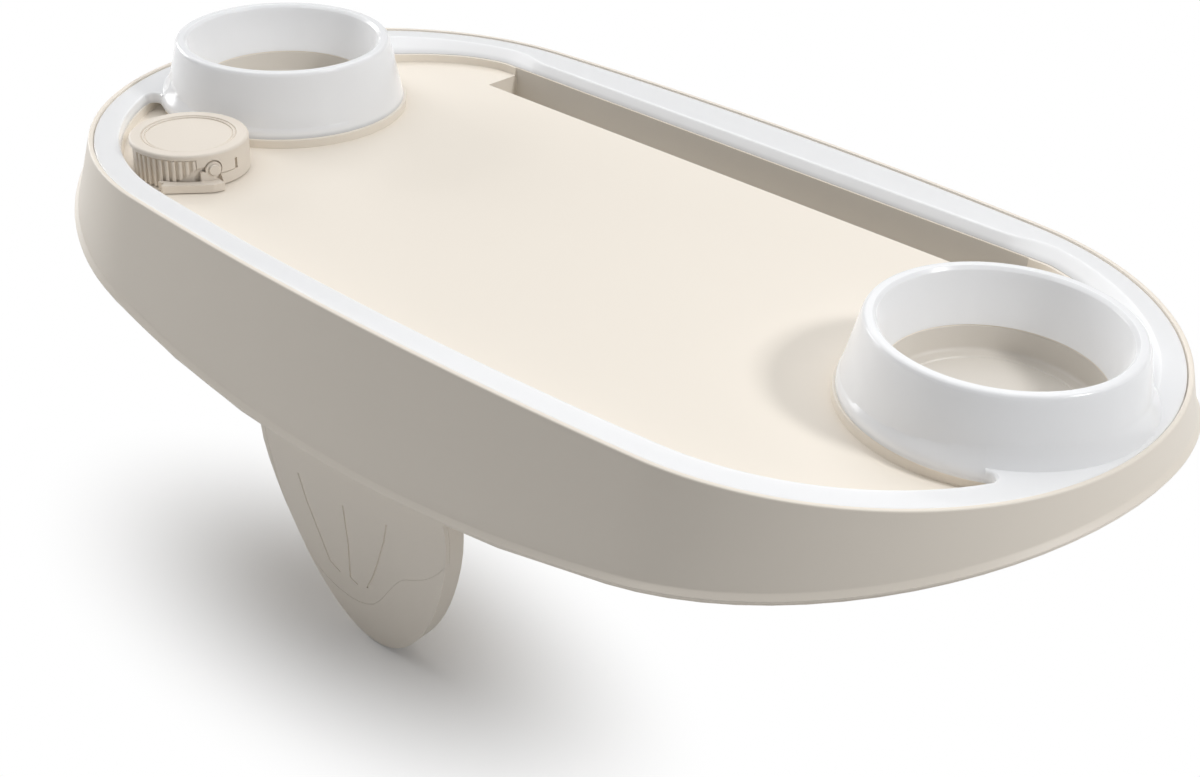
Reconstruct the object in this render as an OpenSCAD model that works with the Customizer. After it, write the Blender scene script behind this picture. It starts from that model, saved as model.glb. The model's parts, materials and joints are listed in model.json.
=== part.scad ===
// Hot tub tray that straddles the wall of an inflatable tub.
// Millimetres, +Z up, +X along the tray, -Y on the tub side.
// The origin is the middle of the face that rests on the wall, under the tray.

/* [Tray outline] */
// Half of the tray's length at the rim
rim_half_l = 249; // [240:1:265]
// Half of the tray's width at the rim
rim_half_w = 130; // [128:1:140]
// How much less the end radius is than half the width
side_bulge = 4.9; // [3:0.1:8]
// Height of the rim above the ledge that the band stands on
rim_h = 5.4; // [4:0.1:7]
// Width of the cream lip round the rim
lip_w = 2; // [1.6:0.1:3]
// Height of the ledge above the face that rests on the wall
ledge_h = 25; // [24:0.5:30]
// Depth of the deck below the ledge
deck_drop = 3.9; // [3:0.1:4.4]
// Thickness of the deck
deck_t = 2.5; // [2:0.1:3.5]
// Depth of the channel under the band, below the ledge
channel_d = 2.5; // [2:0.1:3]
// Thickness of the channel's floor
floor_t = 2.4; // [2:0.1:3]

/* [Skirt] */
// Drop of the skirt's edge below the ledge at mid length
skirt_mid_drop = 48.7; // [44:0.5:56]
// Drop of the skirt's edge below the ledge at the two ends
skirt_end_drop = 9; // [8.6:0.2:12]
// Outward flare of the skirt for each millimetre down
flare = 0.24; // [0.15:0.01:0.3]
// Thickness of the skirt
skirt_wall = 2.6; // [2.2:0.1:3]
// How far the bead stands out along the skirt's edge
bead_w = 1.2; // [0.6:0.1:1.8]
// Height of the bead
bead_h = 3; // [2.4:0.1:4]

/* [Light band] */
// Gap between the lip and the band
band_gap = 0.3; // [0.2:0.05:0.6]
// How far the band's top lies below the rim
band_drop = 0.5; // [0:0.1:1]
// Wall of the translucent moulding
guide_wall = 2; // [1.6:0.1:2.4]
// Inset of the band's inner edge at the front
band_front_w = 12.9; // [12:0.1:14]
// Inset of the band's top edge at the rear corners
band_rear_w = 11.6; // [11:0.1:13]
// Inset of the ledge's inner edge at the front
ledge_front_w = 13.8; // [13.4:0.1:15]
// Inset of the ledge's inner edge at the slot's ends
ledge_corner_w = 18.6; // [17:0.1:20]
// Inset of the ledge's inner edge at the two ends of the tray
ledge_end_w = 27.8; // [25:0.1:29]
// Width of the ledge that shows inside the band's foot
ledge_w = 0.5; // [0.3:0.1:0.8]
// Depth of the band's slope along the slot
band_slope_d = 3.9; // [3:0.1:6]
// How far short of the slot's end the band starts to bend
band_bend_lead = 14.6; // [10:0.2:20]

/* [Cup wells] */
// Distance from the rim's end to the middle of a cup well
cup_inset = 59.2; // [58:0.2:62]
// Radius of a cup ring's mouth
cup_r = 43; // [40:0.5:44]
// Height of a cup ring above the ledge
ring_h = 28; // [22:0.5:34]
// Width of a cup ring's rounded top
ring_top_w = 5; // [4:0.1:6]
// Radius of a cup ring's foot
ring_foot_r = 54.1; // [53:0.1:55]
// How far the plinth under a ring stands out from its foot
plinth_w = 1.1; // [0.8:0.1:2]
// Wall of the plinth
plinth_wall = 2.4; // [2:0.1:3]
// Height of the well's own collar above the ledge
collar_h = 6.7; // [5:0.1:9]
// Radius of the collar's mouth
collar_r = 38.8; // [37:0.1:39]
// Depth of the well's floor below the ledge
well_depth = 3.2; // [2:0.1:3.6]

/* [Device slot] */
// Distance from the rim's end to the slot's end
slot_end_inset = 106.4; // [105:0.2:117]
// Distance from the rim to the slot's rear wall at mid length
slot_rear_inset = 26.4; // [26:0.1:28]
// Width of the slot from front to rear
slot_w = 18.8; // [16:0.1:24]
// Wall of the slot's pocket
pocket_wall = 2.4; // [2:0.1:3]

/* [Battery cap] */
// Gap between the cap and the ledge, and between the cap and the ring's plinth
cap_gap = 2.15; // [1.6:0.05:3]
// Radius of the cap
cap_r = 24.9; // [24.4:0.1:25.2]
// Height of the cap's top above the deck
cap_h = 15.2; // [14.6:0.1:17]
// Gap between the cap's edge and the deck
cap_lift_gap = 0.6; // [0.4:0.1:1]
// Wall of the cap
cap_wall = 2.3; // [2:0.1:2.6]
// Radius of the recessed disc on the cap's top
cap_disc_r = 18.9; // [16:0.1:20]
// Pitch of the cap's ribs in degrees
rib_pitch = 6.67; // [5:0.01:9]
// Radius of the round head of the lever's pin
knob_r = 2.4; // [2:0.1:2.8]
// Height of the lever's pin above the deck
knob_z = 8.2; // [7.6:0.1:8.6]
// Bearing of the lever's pin round the cap
knob_bearing = -14; // [-20:1:-10]
// Height of the lever's bar
lever_h = 3.4; // [2.8:0.1:3.6]

/* [Batteries] */
// Radius of a cell
cell_r = 7.1; // [6.9:0.05:7.2]
// Length of a cell with its button
cell_l = 50; // [49:0.1:50.5]
// Outer radius of the battery tube
tube_r = 19.8; // [19.6:0.1:20.2]
// Wall of the battery tube
tube_wall = 2.4; // [2:0.1:2.6]
// Height of the tube's mouth above the deck
neck_h = 10.6; // [10:0.1:11]

/* [Lower shell] */
// Thickness of the lower shell
cover_t = 2.2; // [1.8:0.1:2.6]
// How far the rest pad stands proud of the lower shell
pad_h = 1; // [0.6:0.1:1.5]
// Half of the rest pad's length
pad_half_l = 112; // [90:1:115]
// Half of the rest pad's width
pad_half_w = 80; // [60:1:88]

/* [Legs] */
// Half of a leg's width
leg_half_w = 52; // [46:0.5:56]
// Thickness of a leg
leg_t = 9; // [8:0.1:10]
// Length of a leg from its shoulder to its tip
leg_l = 77; // [60:1:95]
// How far a leg's outer face lies inside the rim at the shoulder
leg_inset = 2; // [1:0.1:3]
// Depth of the shoulder below the ledge
shoulder_drop = 70; // [68:0.5:74]
// Lean of a leg towards the wall, in degrees
leg_lean = 6.8; // [4:0.1:9]
// Thickness of the leg's moulded panel
panel_t = 2; // [1.6:0.1:2.6]
// Depth of the fine grooves in the panel
groove_d = 0.6; // [0.4:0.1:0.9]

/* [Fasteners] */
// Radius of a screw's thread
screw_r = 1.45; // [1.3:0.05:1.6]
// Radius of a screw's head
head_r = 3.3; // [3:0.1:3.6]
// Length of a screw under its head
screw_l = 11; // [9:0.5:12]
// Running clearance of fitted pieces
fit_gap = 0.1; // [0.05:0.01:0.2]

/* [Hidden] */

cream = [0.96, 0.93, 0.88];
shade_cream = [0.9, 0.87, 0.82];
milk = [0.95, 0.96, 0.98];
steel = [0.7, 0.71, 0.72];
rubber = [0.2, 0.2, 0.21];
green = [0.1, 0.35, 0.2];
eps = 0.01;

// The outline: two end arcs and two slack side arcs that meet them smoothly
end_steps = 18;
side_steps = 6;
end_r = rim_half_w - side_bulge;
end_x = rim_half_l - end_r;
side_r = (end_x * end_x + rim_half_w * rim_half_w - end_r * end_r) / (2 * side_bulge);
side_a = atan2(end_x, side_r - rim_half_w);
function end_station(s, a) = [s * end_x + end_r * cos(a), end_r * sin(a), cos(a), sin(a)];
function side_station(a) =
    [side_r * sin(a), rim_half_w - side_r + side_r * cos(a), sin(a), cos(a)];
upper_half = concat(
    [for (k = [0 : end_steps]) end_station(1, (90 - side_a) * k / end_steps)],
    [for (k = [1 : side_steps]) side_station(side_a - 2 * side_a * k / side_steps)],
    [for (k = [1 : end_steps]) end_station(-1, 90 + side_a + (90 - side_a) * k / end_steps)]);
half_n = len(upper_half) - 1;
lower_half = [for (k = [half_n - 1 : -1 : 1])
    [upper_half[k][0], -upper_half[k][1], upper_half[k][2], -upper_half[k][3]]];
stations = concat(upper_half, lower_half);
n = len(stations);

// Heights below are measured from the top of the ledge
deck_z = -deck_drop;
deck_under = deck_z - deck_t;
channel_z = -channel_d;
under_z = channel_z - floor_t;
band_top = rim_h - band_drop;
boss_top = -deck_drop - 0.3;
plate_z = -(ledge_h - pad_h);
plate_top = plate_z + cover_t;
function edge_z(x) =
    -skirt_mid_drop + (skirt_mid_drop - skirt_end_drop) * pow(x / rim_half_l, 2);
function skirt_off(z) = flare * (rim_h - z);

// Smooth steps between the front, the rear and the slot
function clamp01(t) = min(1, max(0, t));
function smooth(t) = clamp01(t) * clamp01(t) * (3 - 2 * clamp01(t));
function mix(a, b, t) = a + (b - a) * t;
rear_blend = 40;
slot_half_l = rim_half_l - slot_end_inset;
band_straight_l = slot_half_l - band_bend_lead;
slot_rear_y = rim_half_w - slot_rear_inset;
slot_front_y = slot_rear_y - slot_w;
band_rear_y = slot_rear_y + band_slope_d;
slot_blend = 26;
end_blend = 80;
// The ledge reaches this far over the slot's rear wall before the slot is cut
ledge_lap = 0.5;
function rear_part(s) = smooth((s[1] + rear_blend) / (2 * rear_blend));
function slot_part(s) =
    s[1] < rear_blend ? 0 : 1 - smooth((abs(s[0]) - band_straight_l) / slot_blend);
function to_line(s, y) = s[3] > 0.5 ? (s[1] - y) / s[3] : 0;
function band_in(s) =
    mix(band_front_w, mix(band_rear_w, to_line(s, band_rear_y), slot_part(s)), rear_part(s));
function ledge_rear_in(s) = mix(max(to_line(s, slot_rear_y - ledge_lap), ledge_corner_w), ledge_end_w,
    smooth((abs(s[0]) - end_x - 41) / end_blend));
function ledge_in(s) = mix(ledge_front_w, ledge_rear_in(s), rear_part(s));
function band_foot(s) = ledge_in(s) - ledge_w - ledge_lap * rear_part(s);
function foot_w(s) = guide_wall + 0.15 * (band_foot(s) - band_in(s));
function channel_in(s) = band_foot(s) - foot_w(s) - 0.2;

cup_x = rim_half_l - cup_inset;
plinth_r = ring_foot_r + plinth_w;
// The cap stands clear of the ledge and of the plinth by the same gap
cap_reach = end_r - ledge_front_w - cap_r - cap_gap;
cap_to_cup = plinth_r + cap_r + cap_gap;
arc_to_cup = cup_x - end_x;
cap_sine = (cap_reach * cap_reach + arc_to_cup * arc_to_cup - cap_to_cup * cap_to_cup)
    / (2 * cap_reach * arc_to_cup);
cap_x = -end_x - cap_reach * cap_sine;
cap_y = -cap_reach * sqrt(1 - cap_sine * cap_sine);
collar_wall = 2.2;
slot_depth = -plate_top - 1.4 - pocket_wall;
tube_in_r = tube_r - tube_wall;
cell_ring_r = (cell_r + 0.15) / cos(30);
carrier_t = 2.2;
cap_roof = cap_h - 2.6;
cell_top = cap_roof - 0.4 - carrier_t - 0.4;
cell_bottom = cell_top - cell_l;
spring_h = 1.3;
tube_floor = cell_bottom - spring_h;

// Screw places
boss_r = 4.2;
cover_boss_h = 2.2;
cover_screw_places = [[85, -rim_half_w + 22], [-85, -rim_half_w + 22],
    [85, rim_half_w - 16], [-85, rim_half_w - 16], each [for (x = [-1, 1], y = [-1, 1])
    [x * (cup_x - 49.8), y * 50]]];
leg_screw_x = [-34, 0, 34];
leg_screw_y = rim_half_w - 15.8;
leg_boss_r = 3.6;
leg_flange_t = 4;
leg_face_y = rim_half_w - leg_inset;
board_l = 54;
board_gap = 24.6;
board_x = cap_x + tube_r + board_gap + board_l / 2;
board_y = cap_y + 18.4;
board_w = 26;
board_top = deck_under - 6;
board_t = 1.6;
board_posts = [[-22, -9], [22, -9], [-22, 9], [22, 9]];

// One ring of points: offset and height are functions of the station
function ring_pts(offs, zs) =
    [for (i = [0 : n - 1]) [stations[i][0] + offs[i] * stations[i][2],
        stations[i][1] + offs[i] * stations[i][3], zs[i]]];
function flat_ring(off, z) = ring_pts([for (s = stations) off], [for (s = stations) z]);
function side_faces(k, m) = [for (i = [0 : n - 1]) let (j = (i + 1) % n)
    each [[k * n + i, m * n + i, m * n + j], [k * n + i, m * n + j, k * n + j]]];
function cap_faces(k, up) = let (h = n / 2, faces = concat(
    [[0, 1, n - 1]],
    [for (i = [1 : h - 2]) each [[i, i + 1, n - i], [i + 1, n - i - 1, n - i]]],
    [[h - 1, h, h + 1]]))
    [for (f = faces) let (g = up ? [f[2], f[1], f[0]] : f) [for (v = g) k * n + v]];
module skin_capped(rings) {
    m = len(rings);
    polyhedron(points = [for (r = rings) each r], faces = concat(
        cap_faces(0, true), [for (k = [0 : m - 2]) each side_faces(k, k + 1)],
        cap_faces(m - 1, false)), convexity = 10);
}
module skin_closed(rings) {
    m = len(rings);
    polyhedron(points = [for (r = rings) each r],
        faces = [for (k = [0 : m - 1]) each side_faces(k, (k + 1) % m)], convexity = 10);
}
function flat_outline(offs) =
    [for (i = [0 : n - 1]) let (s = stations[i]) [s[0] + offs[i] * s[2], s[1] + offs[i] * s[3]]];
module band_area(inset_out, inset_in) {
    difference() {
        polygon(flat_outline([for (s = stations) -inset_out]));
        polygon(flat_outline([for (s = stations) -inset_in]));
    }
}
module at_ledge() { translate([0, 0, ledge_h]) children(); }
module at_cap() { at_ledge() translate([cap_x, cap_y, deck_z]) children(); }
module at_cups() {
    for (side = [-1, 1]) translate([side * cup_x, 0, 0]) children();
}
module tube_between(r, z0, z1) { translate([0, 0, z0]) cylinder(r = r, h = z1 - z0, $fn = 96); }

// Upper housing: skirt, lip, channel, ledge and deck as one skin
function housing_rings() = let (
    zb = [for (s = stations) edge_z(s[0])],
    out = [for (z = zb) skirt_off(z)],
    lin = [for (s = stations) ledge_in(s)],
    cin = [for (s = stations) channel_in(s)],
    soft = 0.6)
    [ring_pts([for (d = lin) -d], [for (z = zb) deck_z]),
    ring_pts([for (d = lin) -d], [for (z = zb) -0.3]),
    ring_pts([for (d = lin) -d + 0.3], [for (z = zb) 0]),
    ring_pts([for (c = cin) -c], [for (z = zb) 0]),
    ring_pts([for (c = cin) -c], [for (z = zb) channel_z]),
    flat_ring(-lip_w, channel_z),
    flat_ring(-lip_w, rim_h - soft),
    flat_ring(-lip_w + soft, rim_h),
    flat_ring(-soft, rim_h),
    flat_ring(0, rim_h - soft),
    ring_pts([for (z = zb) skirt_off(z + bead_h)], [for (z = zb) z + bead_h]),
    ring_pts([for (o = out) o + bead_w * 0.9], [for (z = zb) z + bead_h * 0.6]),
    ring_pts([for (o = out) o + bead_w], [for (z = zb) z + bead_h * 0.3]),
    ring_pts([for (o = out) o + bead_w - 0.8], zb),
    ring_pts([for (o = out) o - skirt_wall], zb),
    flat_ring(skirt_off(under_z) - skirt_wall, under_z),
    ring_pts([for (d = lin) -d + floor_t], [for (z = zb) under_z]),
    ring_pts([for (d = lin) -d + floor_t], [for (z = zb) deck_under])];
module slot_box(grow, z0, z1) {
    translate([-slot_half_l - grow, slot_front_y - grow, z0])
        cube([2 * slot_half_l + 2 * grow, slot_w + 2 * grow, z1 - z0]);
}
module upper_housing() {
    color(cream) at_ledge() difference() {
        union() {
            skin_capped(housing_rings());
            intersection() {
                at_cups() tube_between(plinth_r, deck_under, 0);
                translate([0, 0, deck_under - 1]) linear_extrude(height = deck_t + deck_drop + 2)
                    polygon(flat_outline([for (s = stations) 1.2 - ledge_in(s)]));
            }
            at_cups() tube_between(collar_r + collar_wall, deck_under, collar_h);
            slot_box(pocket_wall, -slot_depth - pocket_wall, boss_top);
            for (p = cover_screw_places) translate([p[0], p[1], 0])
                tube_between(boss_r, plate_top + cover_boss_h, boss_top);
            for (p = board_posts) translate([board_x + p[0], board_y + p[1], 0])
                tube_between(2.6, board_top, boss_top);
        }
        // The plinths are hollow below
        intersection() {
            at_cups() difference() {
                tube_between(plinth_r - plinth_wall, deck_under - 1, -plinth_wall);
                tube_between(collar_r + collar_wall, deck_under - 2, 1);
            }
            translate([0, 0, deck_under - 2]) linear_extrude(height = deck_t + deck_drop + 2)
                polygon(flat_outline([for (s = stations) -ledge_in(s) - 1.2]));
        }
        at_cups() translate([0, 0, -well_depth])
            cylinder(r1 = collar_r - 0.6, r2 = collar_r, h = well_depth + collar_h, $fn = 96);
        at_cups() tube_between(collar_r - 0.6 - 5, -well_depth - 0.6, -well_depth + 1);
        slot_box(0, -slot_depth, 1);
        translate([cap_x, cap_y, 0]) tube_between(tube_r + 2 * fit_gap, deck_under - 4, 1);
        for (p = cover_screw_places) translate([p[0], p[1], 0])
            tube_between(screw_r + fit_gap / 2, plate_top - 1, plate_z + screw_l + 3);
        for (p = board_posts) translate([board_x + p[0], board_y + p[1], 0])
            tube_between(1, board_top - 1, board_top + 6);
        translate([strip_entry[0], strip_entry[1], 0]) tube_between(2, under_z - 1, channel_z + 1);
    }
}

// Light guide: the band is a hollow strip, and a hollow cup ring grows out of each end
function band_rings() = let (
    top = [for (s = stations) band_in(s)],
    foot = [for (s = stations) band_foot(s)],
    out = lip_w + band_gap,
    soft = 0.9)
    [flat_ring(-out, channel_z),
    flat_ring(-out, band_top - soft),
    flat_ring(-out - soft, band_top),
    ring_pts([for (t = top) -t + soft], [for (t = top) band_top]),
    ring_pts([for (t = top) -t], [for (t = top) band_top - soft]),
    ring_pts([for (f = foot) -f], [for (f = foot) 0]),
    ring_pts([for (s = stations) foot_w(s) - band_foot(s)], [for (f = foot) 0]),
    ring_pts([for (t = top) -t + guide_wall * 0.8], [for (t = top) band_top - guide_wall]),
    flat_ring(-out - guide_wall, band_top - guide_wall),
    flat_ring(-out - guide_wall, channel_z)];
ring_slope = (ring_foot_r - cup_r - ring_top_w) / ring_h;
module cup_ring() {
    soft = 1.3;
    over = ring_top_w + cup_r;
    rotate_extrude($fn = 96) polygon([
        [ring_foot_r, 0], [over + ring_slope * soft, ring_h - soft],
        [over - soft * 0.3, ring_h - soft * 0.3], [over - soft, ring_h],
        [cup_r + soft, ring_h], [cup_r + soft * 0.3, ring_h - soft * 0.3],
        [cup_r, ring_h - soft], [collar_r, collar_h], [collar_r + collar_wall, collar_h],
        [cup_r + guide_wall * 0.9, ring_h - 2 * guide_wall],
        [over - guide_wall * 0.7, ring_h - 2 * guide_wall],
        [ring_foot_r - guide_wall, 0]]);
}
module light_guide() {
    color(milk) at_ledge() difference() {
        union() {
            skin_closed(band_rings());
            difference() {
                at_cups() cup_ring();
                // Room for the lights where the band runs on inside a ring's wall
                translate([0, 0, channel_z - 1])
                    linear_extrude(height = band_top - guide_wall - channel_z + 0.6)
                    band_area(lip_w + band_gap + guide_wall / 2, band_rear_w - guide_wall - 0.3);
            }
        }
        at_cups() tube_between(collar_r + collar_wall + fit_gap, channel_z - 1, collar_h - 1.2);
    }
}

// Lower shell: an arched flange under the skirt, a sloping wall and the flat plate
function lip_in(z) = skirt_off(z) - skirt_wall - 1.6;
plate_slope = 0.55;
rim_foot = 5;
flange_t = 1.6;
seam_gap = 0.2;
function plate_in(s) = let (z = edge_z(s[0]))
    -(lip_in(z) - rim_foot) + plate_slope * max(0, plate_z - z + flange_t);
function plate_level(s) = let (x = s[0] - plate_in(s) * s[2])
    max(plate_z, edge_z(x) - flange_t);
function cover_rings() = let (
    zb = [for (s = stations) edge_z(s[0])],
    out = [for (z = zb) skirt_off(z)],
    lip = [for (z = zb) lip_in(z)],
    pin = [for (s = stations) plate_in(s)],
    pz = [for (s = stations) plate_level(s)])
    [ring_pts([for (p = pin) -p + 1.4], [for (z = pz) z + cover_t]),
    ring_pts([for (l = lip) l - 4], [for (z = zb) z + bead_h]),
    ring_pts(lip, [for (z = zb) z + bead_h]),
    ring_pts(lip, [for (z = zb) z - seam_gap]),
    ring_pts([for (o = out) o + bead_w - 0.8], [for (z = zb) z - seam_gap]),
    ring_pts([for (o = out) o + bead_w - 0.8], [for (z = zb) z - flange_t * 0.6]),
    ring_pts([for (o = out) o - 0.4], [for (z = zb) z - flange_t]),
    ring_pts([for (l = lip) l - rim_foot], [for (z = zb) z - flange_t]),
    ring_pts([for (p = pin) -p], pz)];
module rounded_slab(half_l, half_w, r, h) {
    linear_extrude(height = h) union() {
        square([2 * half_l - 2 * r, 2 * half_w], center = true);
        square([2 * half_l, 2 * half_w - 2 * r], center = true);
        for (sx = [-1, 1], sy = [-1, 1]) translate([sx * (half_l - r), sy * (half_w - r)])
            circle(r = r, $fn = 48);
    }
}
module base_cover() {
    color(cream) at_ledge() difference() {
        union() {
            skin_capped(cover_rings());
            translate([0, 0, plate_z - pad_h])
                rounded_slab(pad_half_l, pad_half_w, 16, pad_h + eps);
            for (p = cover_screw_places) translate([p[0], p[1], 0])
                tube_between(boss_r + 1.6, plate_top - eps, plate_top + cover_boss_h);
            for (side = [-1, 1], x = leg_screw_x) translate([x, side * leg_screw_y, 0])
                tube_between(leg_boss_r, plate_top - eps, plate_top + 9);
        }
        for (p = cover_screw_places) translate([p[0], p[1], 0]) {
            tube_between(screw_r + 0.35, plate_z - 1, plate_top + 5);
            tube_between(head_r + 0.5, plate_z - 1, plate_top);
        }
        for (side = [-1, 1], x = leg_screw_x) translate([x, side * leg_screw_y, 0])
            tube_between(screw_r + fit_gap / 2, plate_z - 1, plate_top + 7.5);
        translate([cap_x, cap_y, 0]) tube_between(tube_r + 2 * fit_gap, plate_z - 12, plate_top + 12);
    }
}
module base_gasket() {
    zb = [for (s = stations) edge_z(s[0])];
    h = 2.2;
    lift = 0.1;
    color(rubber) at_ledge() skin_closed([
        ring_pts([for (z = zb) lip_in(z) + fit_gap], [for (z = zb) z + lift]),
        ring_pts([for (z = zb) lip_in(z) + fit_gap], [for (z = zb) z + h]),
        ring_pts([for (z = zb) skirt_off(z + h) - skirt_wall - fit_gap], [for (z = zb) z + h]),
        ring_pts([for (z = zb) skirt_off(z) - skirt_wall - fit_gap], [for (z = zb) z + lift])]);
}

// Screws point up: the head is below the piece that it holds
module screw(l) {
    head_h = 1.9;
    difference() {
        union() {
            cylinder(r = screw_r, h = l, $fn = 24);
            translate([0, 0, -head_h]) cylinder(r1 = head_r * 0.8, r2 = head_r, h = head_h, $fn = 32);
        }
        for (a = [0, 90]) rotate([0, 0, a]) translate([-2, -0.45, -head_h - eps])
            cube([4, 0.9, 1.1]);
    }
}
module cover_screws() {
    color(steel) at_ledge() for (p = cover_screw_places)
        translate([p[0], p[1], plate_top]) screw(screw_l);
}
module leg_screws() {
    color(steel) at_ledge() for (side = [-1, 1], x = leg_screw_x)
        translate([x, side * leg_screw_y, plate_z - leg_flange_t]) screw(screw_l);
}

// Legs: drawn upright with the outer face at the origin and the tip down, then leaned in
leg_steps = 14;
function leg_w(v, w) = w * sqrt(max(0, 1 - pow(clamp01(-v / leg_l), 1.35)));
function leg_edge(w) = [for (k = [0 : leg_steps]) let (v = -leg_l * sin(90 * k / leg_steps))
    [leg_w(v, w), v]];
leg_top = shoulder_drop - 50;
leg_outline = concat([[leg_half_w, leg_top]], leg_edge(leg_half_w),
    [for (k = [leg_steps - 1 : -1 : 0]) let (p = leg_edge(leg_half_w)[k]) [-p[0], p[1]]],
    [[-leg_half_w, leg_top]]);
function bezier(a, b, c, d, t) = a * pow(1 - t, 3) + 3 * b * t * pow(1 - t, 2)
    + 3 * c * t * t * (1 - t) + d * pow(t, 3);
wave_steps = 8;
function curve(a, b, c, d) = [for (k = [0 : wave_steps]) bezier(a, b, c, d, k / wave_steps)];
// Lower edge of the panel, from the left side down, along and up to the right edge
panel_wave = concat(
    curve([-0.955, 0.03], [-0.93, -0.28], [-0.8, -0.56], [-0.6, -0.69]),
    curve([-0.6, -0.69], [-0.4, -0.8], [-0.05, -0.83], [0.14, -0.67]),
    curve([0.14, -0.67], [0.34, -0.5], [0.4, -0.41], [0.56, -0.37]),
    curve([0.56, -0.37], [0.74, -0.31], [0.84, -0.24], [0.97, -0.13]));
function leg_scaled(p) = [p[0] * leg_half_w, p[1] * leg_l];
module panel_area() {
    intersection() {
        polygon(leg_outline);
        polygon(concat([for (p = panel_wave) leg_scaled(p)],
                [[leg_half_w * 1.1, -0.08 * leg_l], [leg_half_w * 1.1, leg_top - 3],
        [-0.955 * leg_half_w, leg_top - 3]]));
    }
}
module lean_leg() {
    translate([0, -leg_face_y, -shoulder_drop]) rotate([90 + leg_lean, 0, 0])
        translate([0, 0, -leg_t]) children();
}
module leg_root() {
    // Side view of the root: the flange under the plate and the neck down to the tongue
    y0 = -rim_half_w + 11;
    slab_y = -leg_face_y + leg_t;
    z1 = plate_z - leg_flange_t;
    rotate([90, 0, 90]) translate([0, 0, -leg_half_w + 2])
        linear_extrude(height = 2 * leg_half_w - 4) polygon([
            [y0, plate_z], [y0 + 20, plate_z], [y0 + 20, z1], [y0 + 7, z1],
            [slab_y - 1.3, -shoulder_drop + 20.5], [slab_y - 3.5, -shoulder_drop + 16],
            [slab_y - leg_t - 0.8, -shoulder_drop + 16], [slab_y - leg_t - 0.9, -shoulder_drop + 21]]);
}
module leg() {
    at_ledge() difference() {
        union() {
            leg_root();
            lean_leg() linear_extrude(height = leg_t) polygon(leg_outline);
        }
        lean_leg() translate([0, 0, leg_t - panel_t]) linear_extrude(height = panel_t + 5)
            panel_area();
        // The tip's bevel on the outer face
        lean_leg() translate([-leg_half_w, -leg_l * 0.895, leg_t]) rotate([-52, 0, 0])
            translate([0, -30, 0]) cube([2 * leg_half_w, 30, 30]);
        for (x = leg_screw_x) translate([x, -leg_screw_y, 0]) {
            tube_between(screw_r + 0.35, plate_z - leg_flange_t - 5, plate_z + 1);
            tube_between(head_r + 0.6, plate_z - leg_flange_t - 20, plate_z - leg_flange_t);
        }
    }
}
groove_lines = [[[-0.63, -0.1], [-0.58, -0.26], [-0.48, -0.46], [-0.41, -0.6], [-0.3, -0.64]],
    [[-0.13, -0.14], [-0.14, -0.4], [-0.18, -0.63], [-0.1, -0.65]],
    [[0.36, -0.09], [0.3, -0.22], [0.2, -0.38], [0.1, -0.53], [0.01, -0.63]]];
groove_half = 0.35;
function across(line, k) = let (d = line[min(k + 1, len(line) - 1)] - line[max(k - 1, 0)])
    groove_half * [-d[1], d[0]] / norm(d);
module groove(rough) {
    line = [for (p = rough) leg_scaled(p)];
    m = len(line);
    polygon(concat([for (k = [0 : m - 1]) line[k] + across(line, k)],
        [for (k = [m - 1 : -1 : 0]) line[k] - across(line, k)]));
}
module leg_panel() {
    at_ledge() difference() {
        lean_leg() translate([0, 0, leg_t - panel_t]) linear_extrude(height = panel_t)
            panel_area();
        lean_leg() translate([0, 0, leg_t - groove_d]) linear_extrude(height = 2)
            for (line = groove_lines) groove(line);
    }
}
module front_leg() { color(cream) leg(); }
module front_leg_panel() { color(shade_cream) leg_panel(); }
module rear_leg() { color(cream) rotate([0, 0, 180]) leg(); }
module rear_leg_panel() { color(shade_cream) rotate([0, 0, 180]) leg_panel(); }

// Lights: a flexible strip lies in the channel and carries a chip at each step
strip_out = lip_w + band_gap + guide_wall + 0.7;
strip_w = 4;
strip_t = 0.4;
led_every = 3;
module led_strip() {
    color("white") at_ledge() translate([0, 0, channel_z]) linear_extrude(height = strip_t)
        band_area(strip_out, strip_out + strip_w);
}
module leds() {
    off = -strip_out - strip_w / 2;
    color("gold") at_ledge() for (i = [0 : led_every : n - 1]) let (s = stations[i])
        translate([s[0] + off * s[2], s[1] + off * s[3], channel_z + strip_t])
        rotate([0, 0, atan2(s[3], s[2])]) translate([-1.4, -1.75, 0]) cube([2.8, 3.5, 1.4]);
}

// Control board on its posts, with its chip, connector and coil
module control_board() {
    color(green) at_ledge() translate([board_x, board_y, board_top - board_t]) difference() {
        union() {
            translate([-board_l / 2, -board_w / 2, 0]) cube([board_l, board_w, board_t]);
            translate([-6, -4, board_t - eps]) cube([10, 8, 1.6]);
            translate([9, -5, board_t - eps]) cube([5, 8, 4]);
            translate([-13, 0, board_t - eps]) cylinder(r = 3, h = 4, $fn = 32);
        }
        for (p = board_posts) translate([p[0], p[1], -1]) cylinder(r = 1.3, h = 8, $fn = 24);
    }
}
module board_screws() {
    color(steel) at_ledge() for (p = board_posts)
        translate([board_x + p[0], board_y + p[1], board_top - board_t]) {
            cylinder(r = 0.95, h = 6, $fn = 20);
            translate([0, 0, -1.4]) cylinder(r = 2.2, h = 1.4, $fn = 32);
        }
}

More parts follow.
